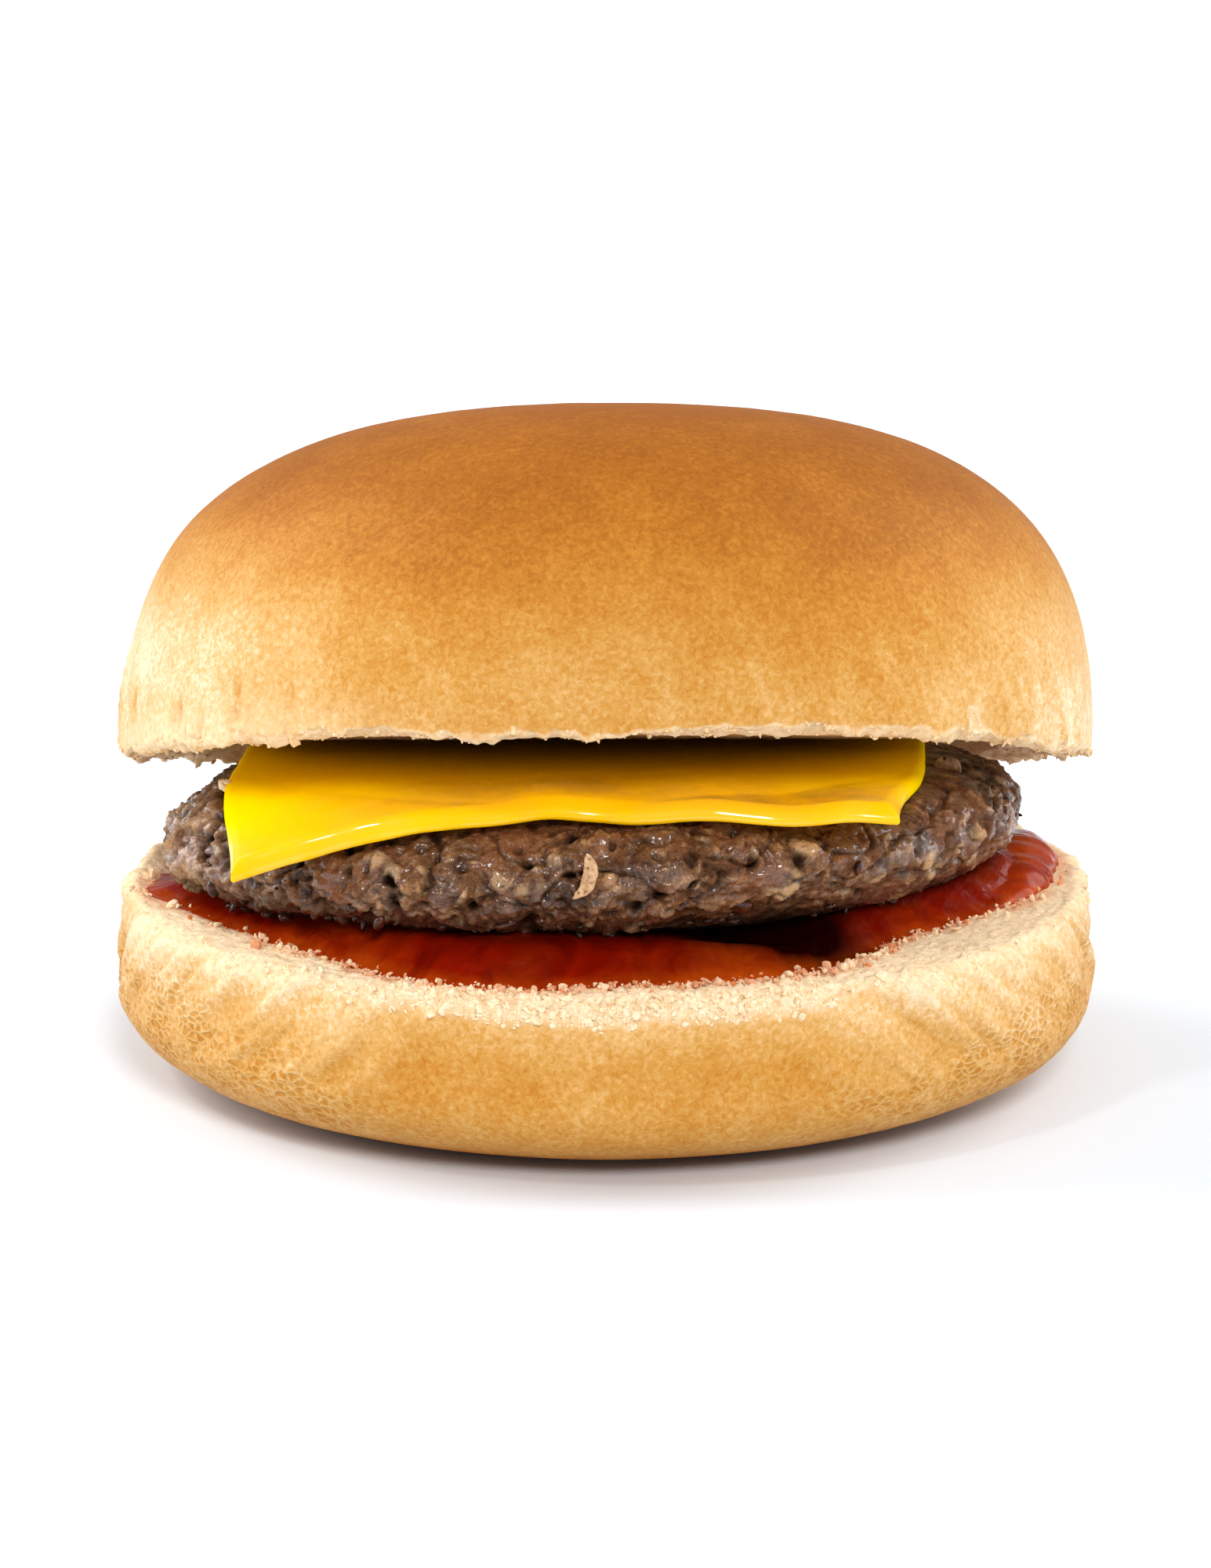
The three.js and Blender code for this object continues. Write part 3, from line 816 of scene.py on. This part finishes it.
def crown_profile():
    """Radii and heights from the cut face's middle, out to its edge and up to the top"""
    corner = CROWN_RADIUS - CROWN_ROUNDING_WIDTH
    plain_radius, side_top = 46, 15
    inner_r = np.linspace(0, plain_radius, 14)[:-1]
    band_r = np.linspace(plain_radius, corner, 36)
    turn = np.linspace(0, 1, 8)[1:-1] * QUARTER
    bend_r = corner + CROWN_ROUNDING_WIDTH * np.sin(turn)
    bend_z = CROWN_ROUNDING * (1 - np.cos(turn))
    side_z = np.linspace(CROWN_ROUNDING, side_top, 38)
    side_r = CROWN_RADIUS * (1 - (side_z / CROWN_HEIGHT) ** CROWN_POWER) ** (1 / CROWN_POWER)
    t = np.linspace(0, 1, 400) * QUARTER
    dome_r = CROWN_RADIUS * np.cos(t) ** (2 / CROWN_POWER)
    dome_z = CROWN_HEIGHT * np.sin(t) ** (2 / CROWN_POWER)
    start = np.searchsorted(dome_z, side_top + 0.3)
    rows = np.unique(np.linspace(start, len(t) - 1, 56).astype(int))
    radii = np.concatenate([inner_r, band_r, bend_r, side_r, dome_r[rows]])
    radii[-1] = 0
    face_z = np.zeros(len(inner_r) + len(band_r))
    return radii, np.concatenate([face_z, bend_z, side_z, dome_z[rows]])


def laid_back(x, y, z):
    """Where a point of the level crown comes to lie once the crown is tilted and in place"""
    cos_t, sin_t = math.cos(CROWN_TILT), math.sin(CROWN_TILT)
    return x, y * cos_t + z * sin_t, CROWN_MIDDLE_Z - y * sin_t + z * cos_t


def crown_dent(x, y, hollow):
    """How far up the filling presses the cut face, and its own hollow at the least"""
    dent = hollow
    for _ in range(4):
        _, world_y, world_z = laid_back(x, y, dent)
        dent = np.maximum(hollow, dent + filling_top(x, world_y) - world_z)
    return dent


def crown_streaks(x, y, z, around):
    """Fine folds that run up from the cut edge, in patches"""
    streak = octaves(around + 0.35 * z, z * 0.14, 10 + 0 * z, STREAK_SIZE, 3, 0.6)
    return streak * (0.6 + 0.8 * smoothstep(-0.3, 0.4, bumps(around, z * 0.5, 0, 7.0)))


def crown_slits(x, y, z, around):
    near, _, own = granules(around * 1.2 + 0.5 * bumps(x, y, z, 3), z * 0.3, 0 * z, SLIT_SIZE, 33)
    return smoothstep(0.5, 0.1, near) * (own > 0.0)


def crown_browning(x, y, z):
    """Darkest on top, with a dark blotch towards the front, and paler at both sides, which is painted
    light where the side lamps fall
    """
    level = z / CROWN_HEIGHT
    toast_and_painted_light = CROWN_TOAST + CROWN_TOP_TOAST * smoothstep(0.05, 0.85, level)
    toast_and_painted_light += 0.07 * octaves(x, y, z, 18, 3)
    blotch = np.hypot((x - 3) / 22, (y + 22) / 12)
    toast_and_painted_light += BLOTCH_TOAST * np.exp(-(blotch**2)) * level
    # painted light: paler on the left and right, where the side lamps fall
    crown_left_painted_light = CROWN_LEFT_PAINTED_LIGHT * smoothstep(-14, -56, x) * smoothstep(0.98, 0.3, level)
    toast_and_painted_light -= crown_left_painted_light * (1 - 0.45 * smoothstep(0.3, 0.05, level))
    return toast_and_painted_light - CROWN_RIGHT_PAINTED_LIGHT * smoothstep(26, 56, x) * smoothstep(0.95, 0.3, level)


def crown_surface():
    """The upper bun, built level with its cut edge at 0, then laid on the filling; fields for
    its browning, with painted shade in its folds and slits, and crumb; and how much of the torn edge each
    point belongs to"""
    surface = turned(*crown_profile(), BUN_SEGMENTS, BUN_CROWDING)
    x, y, z = surface.axes
    past_edge = np.hypot(x, y) - CROWN_RADIUS
    angle = np.arctan2(y, x)
    around = angle * CROWN_RADIUS
    built_z = z
    level = z / CROWN_HEIGHT
    edge = smoothstep(-5, -0.5, past_edge) * (1 - level) ** 8
    dent_crust(surface, CROWN_LUMP_DEPTH * (1 - edge), CROWN_LUMP_SEED)
    surface.points[:, 0] += CROWN_LEAN * level
    x, y, _ = surface.axes
    hollow = CROWN_HOLLOW * smoothstep(-1, -6, past_edge)
    dent = crown_dent(x, y, hollow)
    pressed = smoothstep(0.1, 1.2, dent - hollow)
    rise = sum(r * nearness(angle, towards, spread) for towards, spread, r in CROWN_EDGE_RISES)
    wave = 0.4 * np.maximum(bumps(x, y, 700, EDGE_WAVE_SIZE), -0.4)
    surface.points[:, 2] += dent * (1 - level) ** 6 + edge * (rise + wave)

    x, y, z = surface.axes
    is_under = smoothstep(1.0, 0.4, built_z)
    low = smoothstep(16, 2, z)
    streaky = low * (nearness(angle, -45, 34) + nearness(angle, 150, 60))
    torn_left = nearness(angle, -152, 26) * smoothstep(9.0, 5.0, z + 2.5 * bumps(x, y, z, 5.0))
    streak = crown_streaks(x, y, z, around)
    slit = crown_slits(x, y, z, around) * torn_left
    crumb_grain = octaves(x, y, z, 1.4, 3, 0.7)
    hole = crumb_holes(x, y, z, 1.7, 27, -0.1)
    folds = STREAK_DEPTH * streak * (0.08 * low + 0.92 * streaky)
    relief = (1 - is_under) * (0.05 * octaves(x, y, z, 4.0, 3) + folds - SLIT_DEPTH * slit)
    relief += is_under * (1 - pressed) * (0.3 * crumb_grain - 0.45 * hole)
    surface.push(relief)
    near_edge = smoothstep(2.6, 0.2, built_z) * smoothstep(-4, -0.6, past_edge)
    surface.points[:, 2] += near_edge * CROWN_TOOTH_DEPTH * torn(x, y, 760)

    x, y, z = surface.axes
    fringe_top = 0.4 + rise + 1.3 * octaves(x, y, 820 + 0 * z, 3.2, 4, 0.7)
    crumb = np.maximum(0.4 * smoothstep(0.5, -0.5, z - fringe_top), 0.55 * is_under)
    crumb = np.maximum(crumb, 0.6 * torn_left * smoothstep(7, 1, z))
    # painted shade: the folds are painted in darker and lighter streaks, and the slits darker
    toast_and_painted_light = crown_browning(x, y, z) + 0.34 * streak * streaky + 0.3 * slit
    surface.points = np.stack(laid_back(x, y, z), axis=-1)
    return surface, {"toast_and_painted_light": toast_and_painted_light, "crumb": crumb}, near_edge * crumb


# Filling


def patty_body():
    """The patty as the solid has it, and how bare each point is: 0 where slice or sauce hides it"""
    covered, uncovered = np.linspace(1, 0.62, 8), np.linspace(0.62, 0, 48)[1:]
    t = np.concatenate([covered, uncovered]) * QUARTER
    up = t[::-1][1:]
    under_share = np.cos(t) ** (2 / PATTY_UNDER_POWER)
    top_share = np.cos(up) ** (2 / PATTY_TOP_POWER)
    share = np.concatenate([under_share, top_share])
    share[0] = share[-1] = 0
    heights = np.concatenate([-np.sin(t), np.sin(up)]) * PATTY_HALF
    surface = turned(PATTY_RADIUS * share, heights, PATTY_SEGMENTS, PATTY_CROWDING)

    x, y, z = surface.axes
    angle = np.arctan2(y, x)
    share = np.hypot(x, y) / PATTY_RADIUS
    bare = smoothstep(0.72, 0.97, share)
    crags = 0.5 + 0.35 * bumps(x, y, z, 7) + 0.25 * bumps(x, y, z + 90, 3.6)
    worn = np.clip(crags, 0, 1) * PATTY_WEAR * bare
    shrink = 1 - worn / PATTY_RADIUS
    fuller = np.where(z > 0, shoulder(share, angle), 1)
    px, py = x * shrink + PATTY_X, y * shrink
    pz = z * fuller * (1 - 0.06 * worn) + patty_middle(px, py) + rim_skew(px, share)
    surface.points = np.stack([px, py, pz], axis=-1)
    return surface, bare, angle


def dome(near):
    return np.sqrt(np.clip(1 - near**2, 0, 1))


def patty_surface():
    """Ground beef: lumps, grains and gaps round the edge, fading out where it is covered"""
    surface, bare, angle = patty_body()
    x, y, z = surface.axes
    wander = [1.3 * bumps(x + 31 * k, y, z - 17 * k, 3.4) for k in range(3)]
    at = [x + wander[0], y + wander[1], z + wander[2]]
    near_lump, _, own_lump = granules(*at, MEAT_LUMP_SIZE, 3)
    near_grain, _, own_grain = granules(*at, MEAT_GRAIN_SIZE, 4)
    near_fine, _, _ = granules(x, y, z, MEAT_FINE_SIZE, 6)
    near_pore, _, own_pore = granules(*at, PORE_SIZE, 9)
    lump = dome(near_lump / 1.05) * (1 + 0.45 * own_lump)
    grain = dome(near_grain) * np.clip(0.55 + 0.9 * own_grain, 0, 2)
    rough = octaves(*at, MEAT_ROUGH_SIZE, 4, 0.62)
    craggy = 0.5 + 0.5 * smoothstep(-0.35, 0.4, bumps(x, y, z + 5, 15) - 0.012 * x)
    pore = smoothstep(0.42, 0.12, near_pore) * (own_pore > 0.0)
    fold = np.abs(octaves(x, y, 1.4 * z, CREVICE_SIZE, 3, 0.55))
    crevice = smoothstep(0.075, 0.0, fold)
    crags = MEAT_LUMP_DEPTH * lump + MEAT_GRAIN_DEPTH * grain + MEAT_ROUGH_DEPTH * rough
    relief = craggy * crags + MEAT_FINE_DEPTH * (1 - near_fine)
    relief -= PORE_DEPTH * pore + CREVICE_DEPTH * crevice
    surface.push((relief - MEAT_MIDDLE_DEPTH) * bare)

    x, y, z = surface.axes
    # painted shade: this field marks pores, crevices and low rough spots, which are coloured near black
    painted_gap_shade = np.clip(0.7 * pore + 0.5 * crevice + 0.6 * smoothstep(0.05, -0.5, rough) * craggy, 0, 1)
    # painted light: the left end is painted pale, where the left lamp falls
    patty_end_painted_light = 1.3 * smoothstep(-38, -47, x)
    streaky = smoothstep(-0.2, 0.5, bumps(x, y, z, 12) + 0.012 * x + patty_end_painted_light)
    fat_and_painted_light = smoothstep(0.5 - 0.3 * patty_end_painted_light, 0.8, own_grain) * streaky * smoothstep(0.62, 0.4, near_grain)
    fat_and_painted_light = np.maximum(fat_and_painted_light, 0.5 * patty_end_painted_light * smoothstep(-0.1, 0.35, rough))
    low = smoothstep(-2.0, -5.5, z - patty_middle(x, y))
    wet = low * smoothstep(5, -25, y) * (0.4 + 0.6 * nearness(angle, -135, 34))
    return surface, {"painted_gap_shade": painted_gap_shade, "fat_and_painted_light": 0.8 * fat_and_painted_light, "wet": wet}


def slice_drape(x, y):
    """Underside place of a point of the flat slice, and how it leans outwards there"""
    dx = x - PATTY_X
    reach = np.hypot(dx, y)
    angle = np.arctan2(y, dx)
    out, drop, lean = reach.copy(), 0 * reach, 0 * reach
    for towards, spread, start, radius, steepest in SLICE_BENDS:
        free = np.maximum(reach - SLICE_REST * PATTY_RADIUS - start, 0)
        turn = np.minimum(free / radius, steepest * DEGREE * nearness(angle, towards, spread))
        straight = free - turn * radius
        out -= free - radius * np.sin(turn) - straight * np.cos(turn)
        drop += radius * (1 - np.cos(turn)) + straight * np.sin(turn)
        lean += turn
    px, py = PATTY_X + out * np.cos(angle), out * np.sin(angle)
    share = np.minimum(reach / PATTY_RADIUS, SLICE_REST)
    carried = PATTY_HALF * shoulder(share, angle) * lens(share, PATTY_TOP_POWER)
    front = smoothstep(-26, -42, y) * smoothstep(-16, -6, x) * smoothstep(33, 25, x)
    crest = np.cos(2 * math.pi * (x - SLICE_WAVE_CREST_X) / SLICE_WAVE_LENGTH)
    pz = patty_middle(px, py) + carried + GAP + SLICE_WAVE * (1 + crest) * front - drop
    return px, py, pz, angle, lean


def flat_slice():
    """Two square sheets that meet in a rounded edge, with a bevel on top along the front"""
    half = SLICE_SIDE / 2
    count = SLICE_STEPS + 1
    line = half * np.sin(np.linspace(-1, 1, count) * QUARTER)
    u, v = np.meshgrid(line, line, indexing="ij")
    inset = np.minimum(half - np.abs(u), half - np.abs(v))
    front = smoothstep(14 - half, 5 - half, v)
    rim_z = SLICE_THICKNESS * (0.5 - 0.22 * front)
    edges = [
        (SLICE_EDGE_RADIUS + 0.5 * front, SLICE_EDGE_POWER - 0.8 * front),
        (SLICE_EDGE_RADIUS - 0.5 * front, SLICE_EDGE_POWER),
    ]
    above, below = [(1 - np.clip(1 - inset / r, 0, 1) ** p) ** (1 / p) for r, p in edges]
    top = np.stack([u, v, rim_z + (SLICE_THICKNESS - rim_z) * above], axis=-1).reshape(-1, 3)
    bottom = np.stack([u, v, rim_z * (1 - below)], axis=-1).reshape(-1, 3)
    index = np.arange(count * count).reshape(count, count)
    at_end = np.isin(np.arange(count), (0, count - 1))
    under = np.where(at_end[:, None] | at_end[None, :], index, index + count * count)
    quads = []
    for sheet, order in ((index, 1), (under, -1)):
        corners = [sheet[:-1, :-1], sheet[1:, :-1], sheet[1:, 1:], sheet[:-1, 1:]]
        quads.append(np.stack(corners[::order], axis=-1).reshape(-1, 4))
    quads = np.vstack(quads)
    used, renumbered = np.unique(quads, return_inverse=True)
    return np.vstack([top, bottom])[used], renumbered.reshape(quads.shape)


def cheese_surface():
    """The slice draped on the patty, and a field that is 1 where the crown shades it"""
    points, quads = flat_slice()
    u, v, w = points.T
    cos_t, sin_t = math.cos(SLICE_TURN), math.sin(SLICE_TURN)
    x, y = u * cos_t - v * sin_t + SLICE_X, u * sin_t + v * cos_t + SLICE_Y
    pull = np.where(x < 0, SLICE_PULL_LEFT, SLICE_PULL_RIGHT)
    x = x * (1 - pull * smoothstep(-18, -44, y))
    px, py, pz, angle, lean = slice_drape(x, y)
    out = w * np.sin(lean)
    points = np.stack([px + out * np.cos(angle), py + out * np.sin(angle), pz + w * np.cos(lean)], axis=-1)
    surface = Surface(points, quads, np.zeros((0, 3), int))
    melt = 0.14 * octaves(x, y, 0 * x, 7.0, 3) * smoothstep(0, 3, w)
    surface.push(melt * smoothstep(-30, -40, y) + 0.05 * bumps(x, y, w, 3.0))
    return surface, {"shaded": smoothstep(-43, -32, surface.points[:, 1])}


def sauce_reach(angle):
    """How far the sauce reaches from the middle, with its frayed edge"""
    frill = octaves(50 * np.cos(angle), 50 * np.sin(angle), 5 + 0 * angle, SAUCE_FRILL_SIZE, 6, 0.7)
    return sauce_radius(angle) + SAUCE_FRILL * frill


def pool_depth(x, y, share, angle):
    """Depth of the ketchup where nothing lies on it: a thin lip, then the pool and its lobes"""
    rise = sum(r * nearness(angle, towards, spread) for towards, spread, _, r in SAUCE_LOBES)
    depth = SAUCE_LIP * lens(share, 24) + (SAUCE_DEPTH + rise) * lens(share, SAUCE_POWER)
    swollen = nearness(angle, 4, 24)
    depth *= np.maximum(0.25 + 0.75 * smoothstep(1.0, 0.88, share), swollen)
    strokes = octaves(50 * angle, 14 * share, 0 * share, 2.6, 3)
    stroked = nearness(angle, -8, 24) * smoothstep(0.7, 0.9, share)
    uneven = 0.25 * octaves(x, y, 0 * x, 6.5, 3) + 0.1 * bumps(x, y, 3, 2.2)
    return depth + (0.5 * strokes * stroked + uneven) * lens(share, 12)


def sauce_surface():
    """The pool of ketchup: it fills the dent in the lower bun and swells out from the patty"""
    under_share = np.linspace(0, 1, 26)
    near_edge = np.linspace(0.79, 1, 62)[:-1] ** 0.7
    top_share = np.sort(np.concatenate([np.linspace(0, 0.78, 12), near_edge]))[::-1]
    sides = np.repeat([0.0, 1.0], [len(under_share), len(top_share)])
    surface = turned(np.concatenate([under_share, top_share]), sides, SAUCE_SEGMENTS)
    x, y, on_top = surface.axes
    angle = np.arctan2(y, x)
    share = np.hypot(x, y)
    x, y = x * sauce_reach(angle), y * sauce_reach(angle)

    floor = heel_face(x, y) - SAUCE_SINK
    across, along = (x - HOLLOW_X) / HOLLOW_LENGTH, (y - HOLLOW_Y) / HOLLOW_WIDTH
    hollow = HOLLOW_DEPTH * np.exp(-(across**2) - along**2)
    depth = pool_depth(x, y, share, angle) - hollow
    free = floor + np.maximum(depth, 0.3 * lens(share, 30))
    under_patty = np.hypot(x - PATTY_X, y) < PATTY_RADIUS
    ceiling = np.where(under_patty, patty_underside(x, y) + 0.8, free + PATTY_HALF)
    top = np.maximum(soft_min(free, ceiling, 0.4), floor + 0.15 * lens(share, 30))
    z = np.where(on_top > 0.5, top, floor)
    surface.points = np.stack([x, y, z], axis=-1)

    thin = 0.7 * smoothstep(1.6, 0.2, np.clip(depth, 0, 9)) + 0.2 * nearness(angle, -128, 12)
    thin += 0.5 * nearness(angle, -70, 12) * smoothstep(0.7, 0.9, share)
    thin += 0.8 * nearness(angle, 8, 20)
    thin = np.clip(0.8 * thin + 0.25 * octaves(x, y, z, 4.0, 2), 0, 1)
    # painted shade: darker in the hollow and towards the middle, under the patty
    dark = np.clip(1.5 * hollow / HOLLOW_DEPTH + 0.4 * smoothstep(0.98, 0.84, share), 0, 1)
    return surface, {"dark": dark, "thin": thin}


# Crumbs, juice and scraps


def blobs(places, sizes, seed, lumps=0.9, rings=6):
    """One small lump of crumb or meat at each place, squashed and turned at random"""
    chance = np.random.default_rng(seed)
    plain = ball(rings, rings + 1)
    points, quads, triangles = [], [], []
    for count, (place, size) in enumerate(zip(places, sizes)):
        turned_frame, _ = np.linalg.qr(chance.normal(size=(3, 3)))
        reach = size * chance.uniform(0.4, 1.5, 3)
        lumpy = 1 + lumps * octaves(*(plain.points * 0.9 + 9 * count).T, 1.0, 2)
        points.append((plain.points * lumpy[:, None] * reach) @ turned_frame + place)
        quads.append(plain.quads + count * len(plain.points))
        triangles.append(plain.triangles + count * len(plain.points))
    return Surface(np.vstack(points), np.vstack(quads), np.vstack(triangles))


def picked(surface, weight, count, seed):
    """Points of a surface, taken at random where `weight` is high, and a random value of each"""
    chance = np.random.default_rng(seed)
    index = chance.choice(len(surface.points), count, p=weight / weight.sum())
    return surface.points[index], chance.random(count)


def crumb_sizes(luck):
    """Half lengths of crumbs: most are small, few large"""
    return 0.12 + 0.34 * luck**3


def add_crumbs(name, surface, weight, count, material, seed, paleness):
    """Loose crumbs on a torn edge: paleness runs from golden crust, 0, to white crumb, 1"""
    places, luck = picked(surface, weight, count, seed)
    bits = blobs(places, crumb_sizes(luck), seed)
    fields = {
        "toast_and_painted_light": np.full(len(bits.points), 0.25 * (1 - paleness)),
        "crumb": np.full(len(bits.points), paleness),
    }
    piece(name, bits, material, (), fields, smooth=False)


def sauce_edge(count, seed):
    """Places along the front edge of the sauce, where crumb is torn up and stained"""
    chance = np.random.default_rng(seed)
    angle = FRONT * DEGREE + chance.normal(0, 0.75, count)
    radius = sauce_reach(angle) + chance.normal(0.5, 0.9, count)
    x, y = radius * np.cos(angle), radius * np.sin(angle)
    return np.stack([x, y, heel_face(x, y) + chance.normal(0.15, 0.12, count)], axis=-1)


def add_stained_crumbs(material):
    seed = 21
    places = sauce_edge(STAINED_CRUMBS, seed)
    luck = np.random.default_rng(seed + 1).random(STAINED_CRUMBS)
    bits = blobs(places, crumb_sizes(luck), seed)
    each_stain = np.random.default_rng(seed + 2).random(STAINED_CRUMBS) ** 1.5
    stain = np.repeat(each_stain, len(bits.points) // STAINED_CRUMBS)
    fields = {"crumb": np.ones(len(stain)), "stain": stain}
    piece("stained_crumbs", bits, material, (), fields, smooth=False)


def add_loose_crumb(material):
    """A few larger bits of crumb on the left edge of the slice"""
    seed = 41
    scatter = np.random.default_rng(seed).normal(0, 0.35, (LOOSE_CRUMB_BITS, 3))
    sizes = np.linspace(0.5, 0.25, LOOSE_CRUMB_BITS)
    bits = blobs(np.array(LOOSE_CRUMB) + scatter, sizes, seed, rings=11)
    fields = {"crumb": np.ones(len(bits.points))}
    piece("loose_crumb", bits, material, (), fields)


def add_juice(patty, fields):
    """Beads of juice on the front of the patty, most of them low where it is wet"""
    seed = 31
    front_face = (patty.normals()[:, 2] < 0.2) & (patty.points[:, 1] < 0)
    dripping = front_face * (fields["wet"] ** 2 + 0.03 * (fields["painted_gap_shade"] < 0.4))
    places, luck = picked(patty, dripping, JUICE_BEADS, seed)
    beads = blobs(places, 0.35 + 0.5 * luck**2, seed, lumps=0.25, rings=12)
    piece("juice_beads", beads, juice_material())


def bent_bit(place, length, width, turn):
    """A curved, rounded scrap that stands off the patty's front face"""
    scrap = ball(24, 24)
    x, y, z = scrap.axes
    x = x * width + 0.35 * length * (1 - z**2)
    lumpy = 0.3 * octaves(2 * x, 2 * y, 2 * z * length, 1.6, 3)
    x, y, z = x + lumpy, y * width * 0.55, z * length
    cos_t, sin_t = math.cos(turn), math.sin(turn)
    scrap.points = np.stack([x * cos_t - z * sin_t, y, x * sin_t + z * cos_t], axis=-1) + place
    return scrap


# Stage, light and camera

SKY_LIGHT = 0.42
# Far softboxes: where each stands, its strength as white paper facing it shows it, and its width
# in degrees
SOFTBOXES = [
    ("left", (-0.85, 0.3, 0.5), 0.84, 50),
    ("right", (0.85, 0.35, 0.48), 0.66, 50),
    ("front", (0.12, -0.83, 0.53), 0.62, 15),
    ("glint", (-0.45, -0.5, 0.75), 0.12, 5),
]
FLOOR_REACH_M = 6.0
CAMERA_DISTANCE_M = 0.8
CAMERA_ELEVATION = 13.54 * DEGREE
CAMERA_TARGET_Z_M = 0.03338
CAMERA_LENS_MM = 157.5
CAMERA_FILM_MM = 36


def aim_at(thing, target):
    direction = Vector(target) - Vector(thing.location)
    thing.rotation_euler = direction.to_track_quat("-Z", "Y").to_euler()


def add_floor():
    shader = Shader("floor", Roughness=0.7)
    shader.set("Base Color", FLOOR_COLOR)
    mesh = bpy.data.meshes.new("floor")
    corners = [(x * FLOOR_REACH_M, y * FLOOR_REACH_M, 0) for x, y in ((-1, -1), (1, -1), (1, 1), (-1, 1))]
    mesh.from_pydata(corners, [], [(0, 1, 2, 3)])
    mesh.materials.append(shader.material)
    floor = bpy.data.objects.new("floor", mesh)
    bpy.context.scene.collection.objects.link(floor)


def add_lights():
    world = bpy.data.worlds.new("studio")
    world.use_nodes = True
    sky = world.node_tree.nodes["Background"]
    sky.inputs["Color"].default_value = (1, 1, 1, 1)
    sky.inputs["Strength"].default_value = SKY_LIGHT
    bpy.context.scene.world = world
    for name, place, strength, spread in SOFTBOXES:
        lamp = bpy.data.lights.new(name, "SUN")
        lamp.energy = strength * math.pi
        lamp.angle = spread * DEGREE
        holder = bpy.data.objects.new(name, lamp)
        holder.location = place
        aim_at(holder, (0, 0, 0))
        bpy.context.scene.collection.objects.link(holder)


def add_camera():
    """In front of the burger, as far away and as high as the photo was taken from"""
    data = bpy.data.cameras.new("camera")
    data.lens = CAMERA_LENS_MM
    data.sensor_width = CAMERA_FILM_MM
    data.clip_end = 50
    holder = bpy.data.objects.new("camera", data)
    back = CAMERA_DISTANCE_M * math.cos(CAMERA_ELEVATION)
    rise = CAMERA_DISTANCE_M * math.sin(CAMERA_ELEVATION)
    holder.location = (0, -back, CAMERA_TARGET_Z_M + rise)
    aim_at(holder, (0, 0, CAMERA_TARGET_Z_M))
    bpy.context.scene.collection.objects.link(holder)
    bpy.context.scene.camera = holder


def add_burger():
    lower_crust = bread_material("lower_crust")
    upper_crust = bread_material("upper_crust")
    heel, heel_fields = heel_surface()
    piece("lower_bun", heel, lower_crust, ["heel"], heel_fields)
    crown, crown_fields, fringe = crown_surface()
    piece("upper_bun", crown, upper_crust, ["crown"], crown_fields)
    patty, patty_fields = patty_surface()
    piece("beef_patty", patty, beef_material(), ["patty"], patty_fields)
    cheese, cheese_fields = cheese_surface()
    piece("cheese_slice", cheese, cheese_material(), ["cheese"], cheese_fields)
    sauce, sauce_fields = sauce_surface()
    piece("ketchup_pool", sauce, sauce_material(), ["ketchup"], sauce_fields)

    add_stained_crumbs(lower_crust)
    add_juice(patty, patty_fields)
    piece("pale_scrap", bent_bit(PALE_SCRAP, 2.7, 0.8, -0.3), scrap_material())
    piece("pale_flake", bent_bit(PALE_FLAKE, 1.7, 0.9, 1.2), scrap_material())
    add_loose_crumb(upper_crust)
    x, y, _ = heel.axes
    rim = heel_fields["crumb"] * smoothstep(-2.6, -0.4, np.hypot(x, y) - HEEL_RIM_RADIUS)
    rim *= 0.02 + nearness(np.arctan2(y, x), FRONT, 38)
    add_crumbs("lower_crumbs", heel, rim, LOWER_CRUMBS, lower_crust, 11, 1.0)
    add_crumbs("upper_crumbs", crown, fringe, UPPER_CRUMBS, upper_crust, 12, 0.3)


add_camera()
add_floor()
add_lights()
bpy.context.scene.view_settings.view_transform = "Standard"
add_burger()
